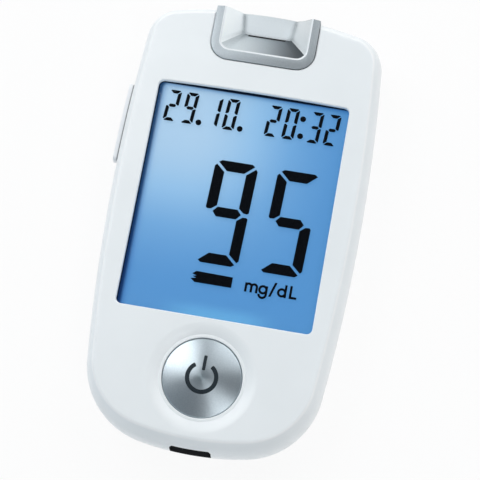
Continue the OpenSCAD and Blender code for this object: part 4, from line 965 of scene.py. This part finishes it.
def make_floor():
    """A pale disc that shades and shows shadows, and that the camera and reflections see nearly white."""
    angles = [math.tau * i / FLOOR_SIDES for i in range(FLOOR_SIDES)]
    floor = add("floor", [(FLOOR_R * math.cos(t), FLOOR_R * math.sin(t), 0) for t in angles],
                [tuple(range(FLOOR_SIDES))])
    s = Shader("floor_white", 0.8)
    s.colour(s.mottled(300, (0.9, 0.905, 0.91, 1), (0.93, 0.932, 0.935, 1)))
    path = s.node("ShaderNodeLightPath")
    glow = s.node("ShaderNodeEmission", Color=WHITE)
    seen, share = s.node("ShaderNodeMath", operation="ADD"), s.node("ShaderNodeMath", operation="MULTIPLY")
    s.link(path.outputs["Is Camera Ray"], seen.inputs[0])
    s.link(path.outputs["Is Glossy Ray"], seen.inputs[1])
    s.link(seen.outputs[0], share.inputs[0])
    share.inputs[1].default_value = FLOOR_GLOW
    fade = s.node("ShaderNodeMixShader")
    s.link(share.outputs[0], fade.inputs[0])
    s.link(s.bsdf.outputs[0], fade.inputs[1])
    s.link(glow.outputs[0], fade.inputs[2])
    s.link(fade.outputs[0], s.tree.nodes["Material Output"].inputs["Surface"])
    floor.data.materials.append(s.mat)


def make_world():
    """White round the horizon, dimmer overhead and darker towards one side, as in a studio; the camera
    sees it white all over."""
    world = bpy.data.worlds.new("studio")
    bpy.context.scene.world = world
    world.use_nodes = True
    tree = world.node_tree
    link = tree.links.new

    def node(kind, **settings):
        n = tree.nodes.new("ShaderNode" + kind)
        for key, value in settings.items():
            setattr(n, key, value)
        return n
    sky = node("TexCoord").outputs["Generated"]

    def towards(way):
        """How far the sky's direction points a way."""
        dot = node("VectorMath", operation="DOT_PRODUCT")
        dot.inputs[1].default_value = way
        link(sky, dot.inputs[0])
        return dot.outputs["Value"]

    def blend(value, start, end, high):
        """A mix that turns into a colour as a value goes from start to end; its socket 6 is still open."""
        step = node("MapRange", interpolation_type="SMOOTHSTEP")
        step.inputs["From Min"].default_value, step.inputs["From Max"].default_value = start, end
        link(value, step.inputs["Value"])
        mix = node("Mix", data_type="RGBA")
        link(step.outputs["Result"], mix.inputs[0])
        mix.inputs[7].default_value = high
        return mix
    tone = blend(towards((0, 0, 1)), 0.35, 0.9, WORLD_HIGH)
    tone.inputs[6].default_value = WORLD_LOW
    shaded = blend(towards(SHADE_SIDE), 0.5, 1, SHADE_TINT)
    link(tone.outputs[2], shaded.inputs[6])
    strength = node("Math", operation="ADD")
    strength.inputs[1].default_value = 1
    link(towards(SIDE_LIGHT), strength.inputs[0])
    soft, white, seen = tree.nodes["Background"], node("Background"), node("MixShader")
    link(shaded.outputs[2], soft.inputs["Color"])
    link(strength.outputs[0], soft.inputs["Strength"])
    white.inputs["Color"].default_value = WHITE
    link(node("LightPath").outputs["Is Camera Ray"], seen.inputs[0])
    link(soft.outputs[0], seen.inputs[1])
    link(white.outputs[0], seen.inputs[2])
    link(seen.outputs[0], tree.nodes["World Output"].inputs[0])


def lamp(name, place, size, watts):
    """A soft box that faces the middle of the object."""
    data = bpy.data.lights.new(name, "AREA")
    data.shape, data.size, data.size_y = "RECTANGLE", size[0] * MM, size[1] * MM
    data.energy = watts
    obj = bpy.data.objects.new(name, data)
    bpy.context.scene.collection.objects.link(obj)
    obj.location = Vector(place) * MM
    obj.rotation_euler = (-obj.location).to_track_quat("-Z", "Y").to_euler()


def make_camera():
    """The photo's camera: its place and its axes, as fitted to the body's outline."""
    data = bpy.data.cameras.new("camera")
    data.lens, data.sensor_width = 120, 36
    data.clip_start, data.clip_end = 0.01, 20
    obj = bpy.data.objects.new("camera", data)
    bpy.context.scene.collection.objects.link(obj)
    right = Vector((0.98324, 0.17654, -0.04544))
    up = Vector((-0.16123, 0.95850, 0.23511))
    back = Vector((0.08506, -0.22384, 0.97091))
    turn = Matrix((right, up, back)).transposed().to_4x4()
    obj.matrix_world = Matrix.Translation(Vector((31.575, -79.533, 345.56)) * MM) @ turn
    bpy.context.scene.camera = obj


make_floor()
make_world()
lamp("key_box", (190, 350, 445), (400, 320), 0.87)
lamp("left_box", (-270, 205, 495), (320, 320), 1.06)
lamp("fill_box", (180, -205, 520), (240, 160), 0.42)
make_camera()
bpy.context.scene.view_settings.view_transform = "Standard"
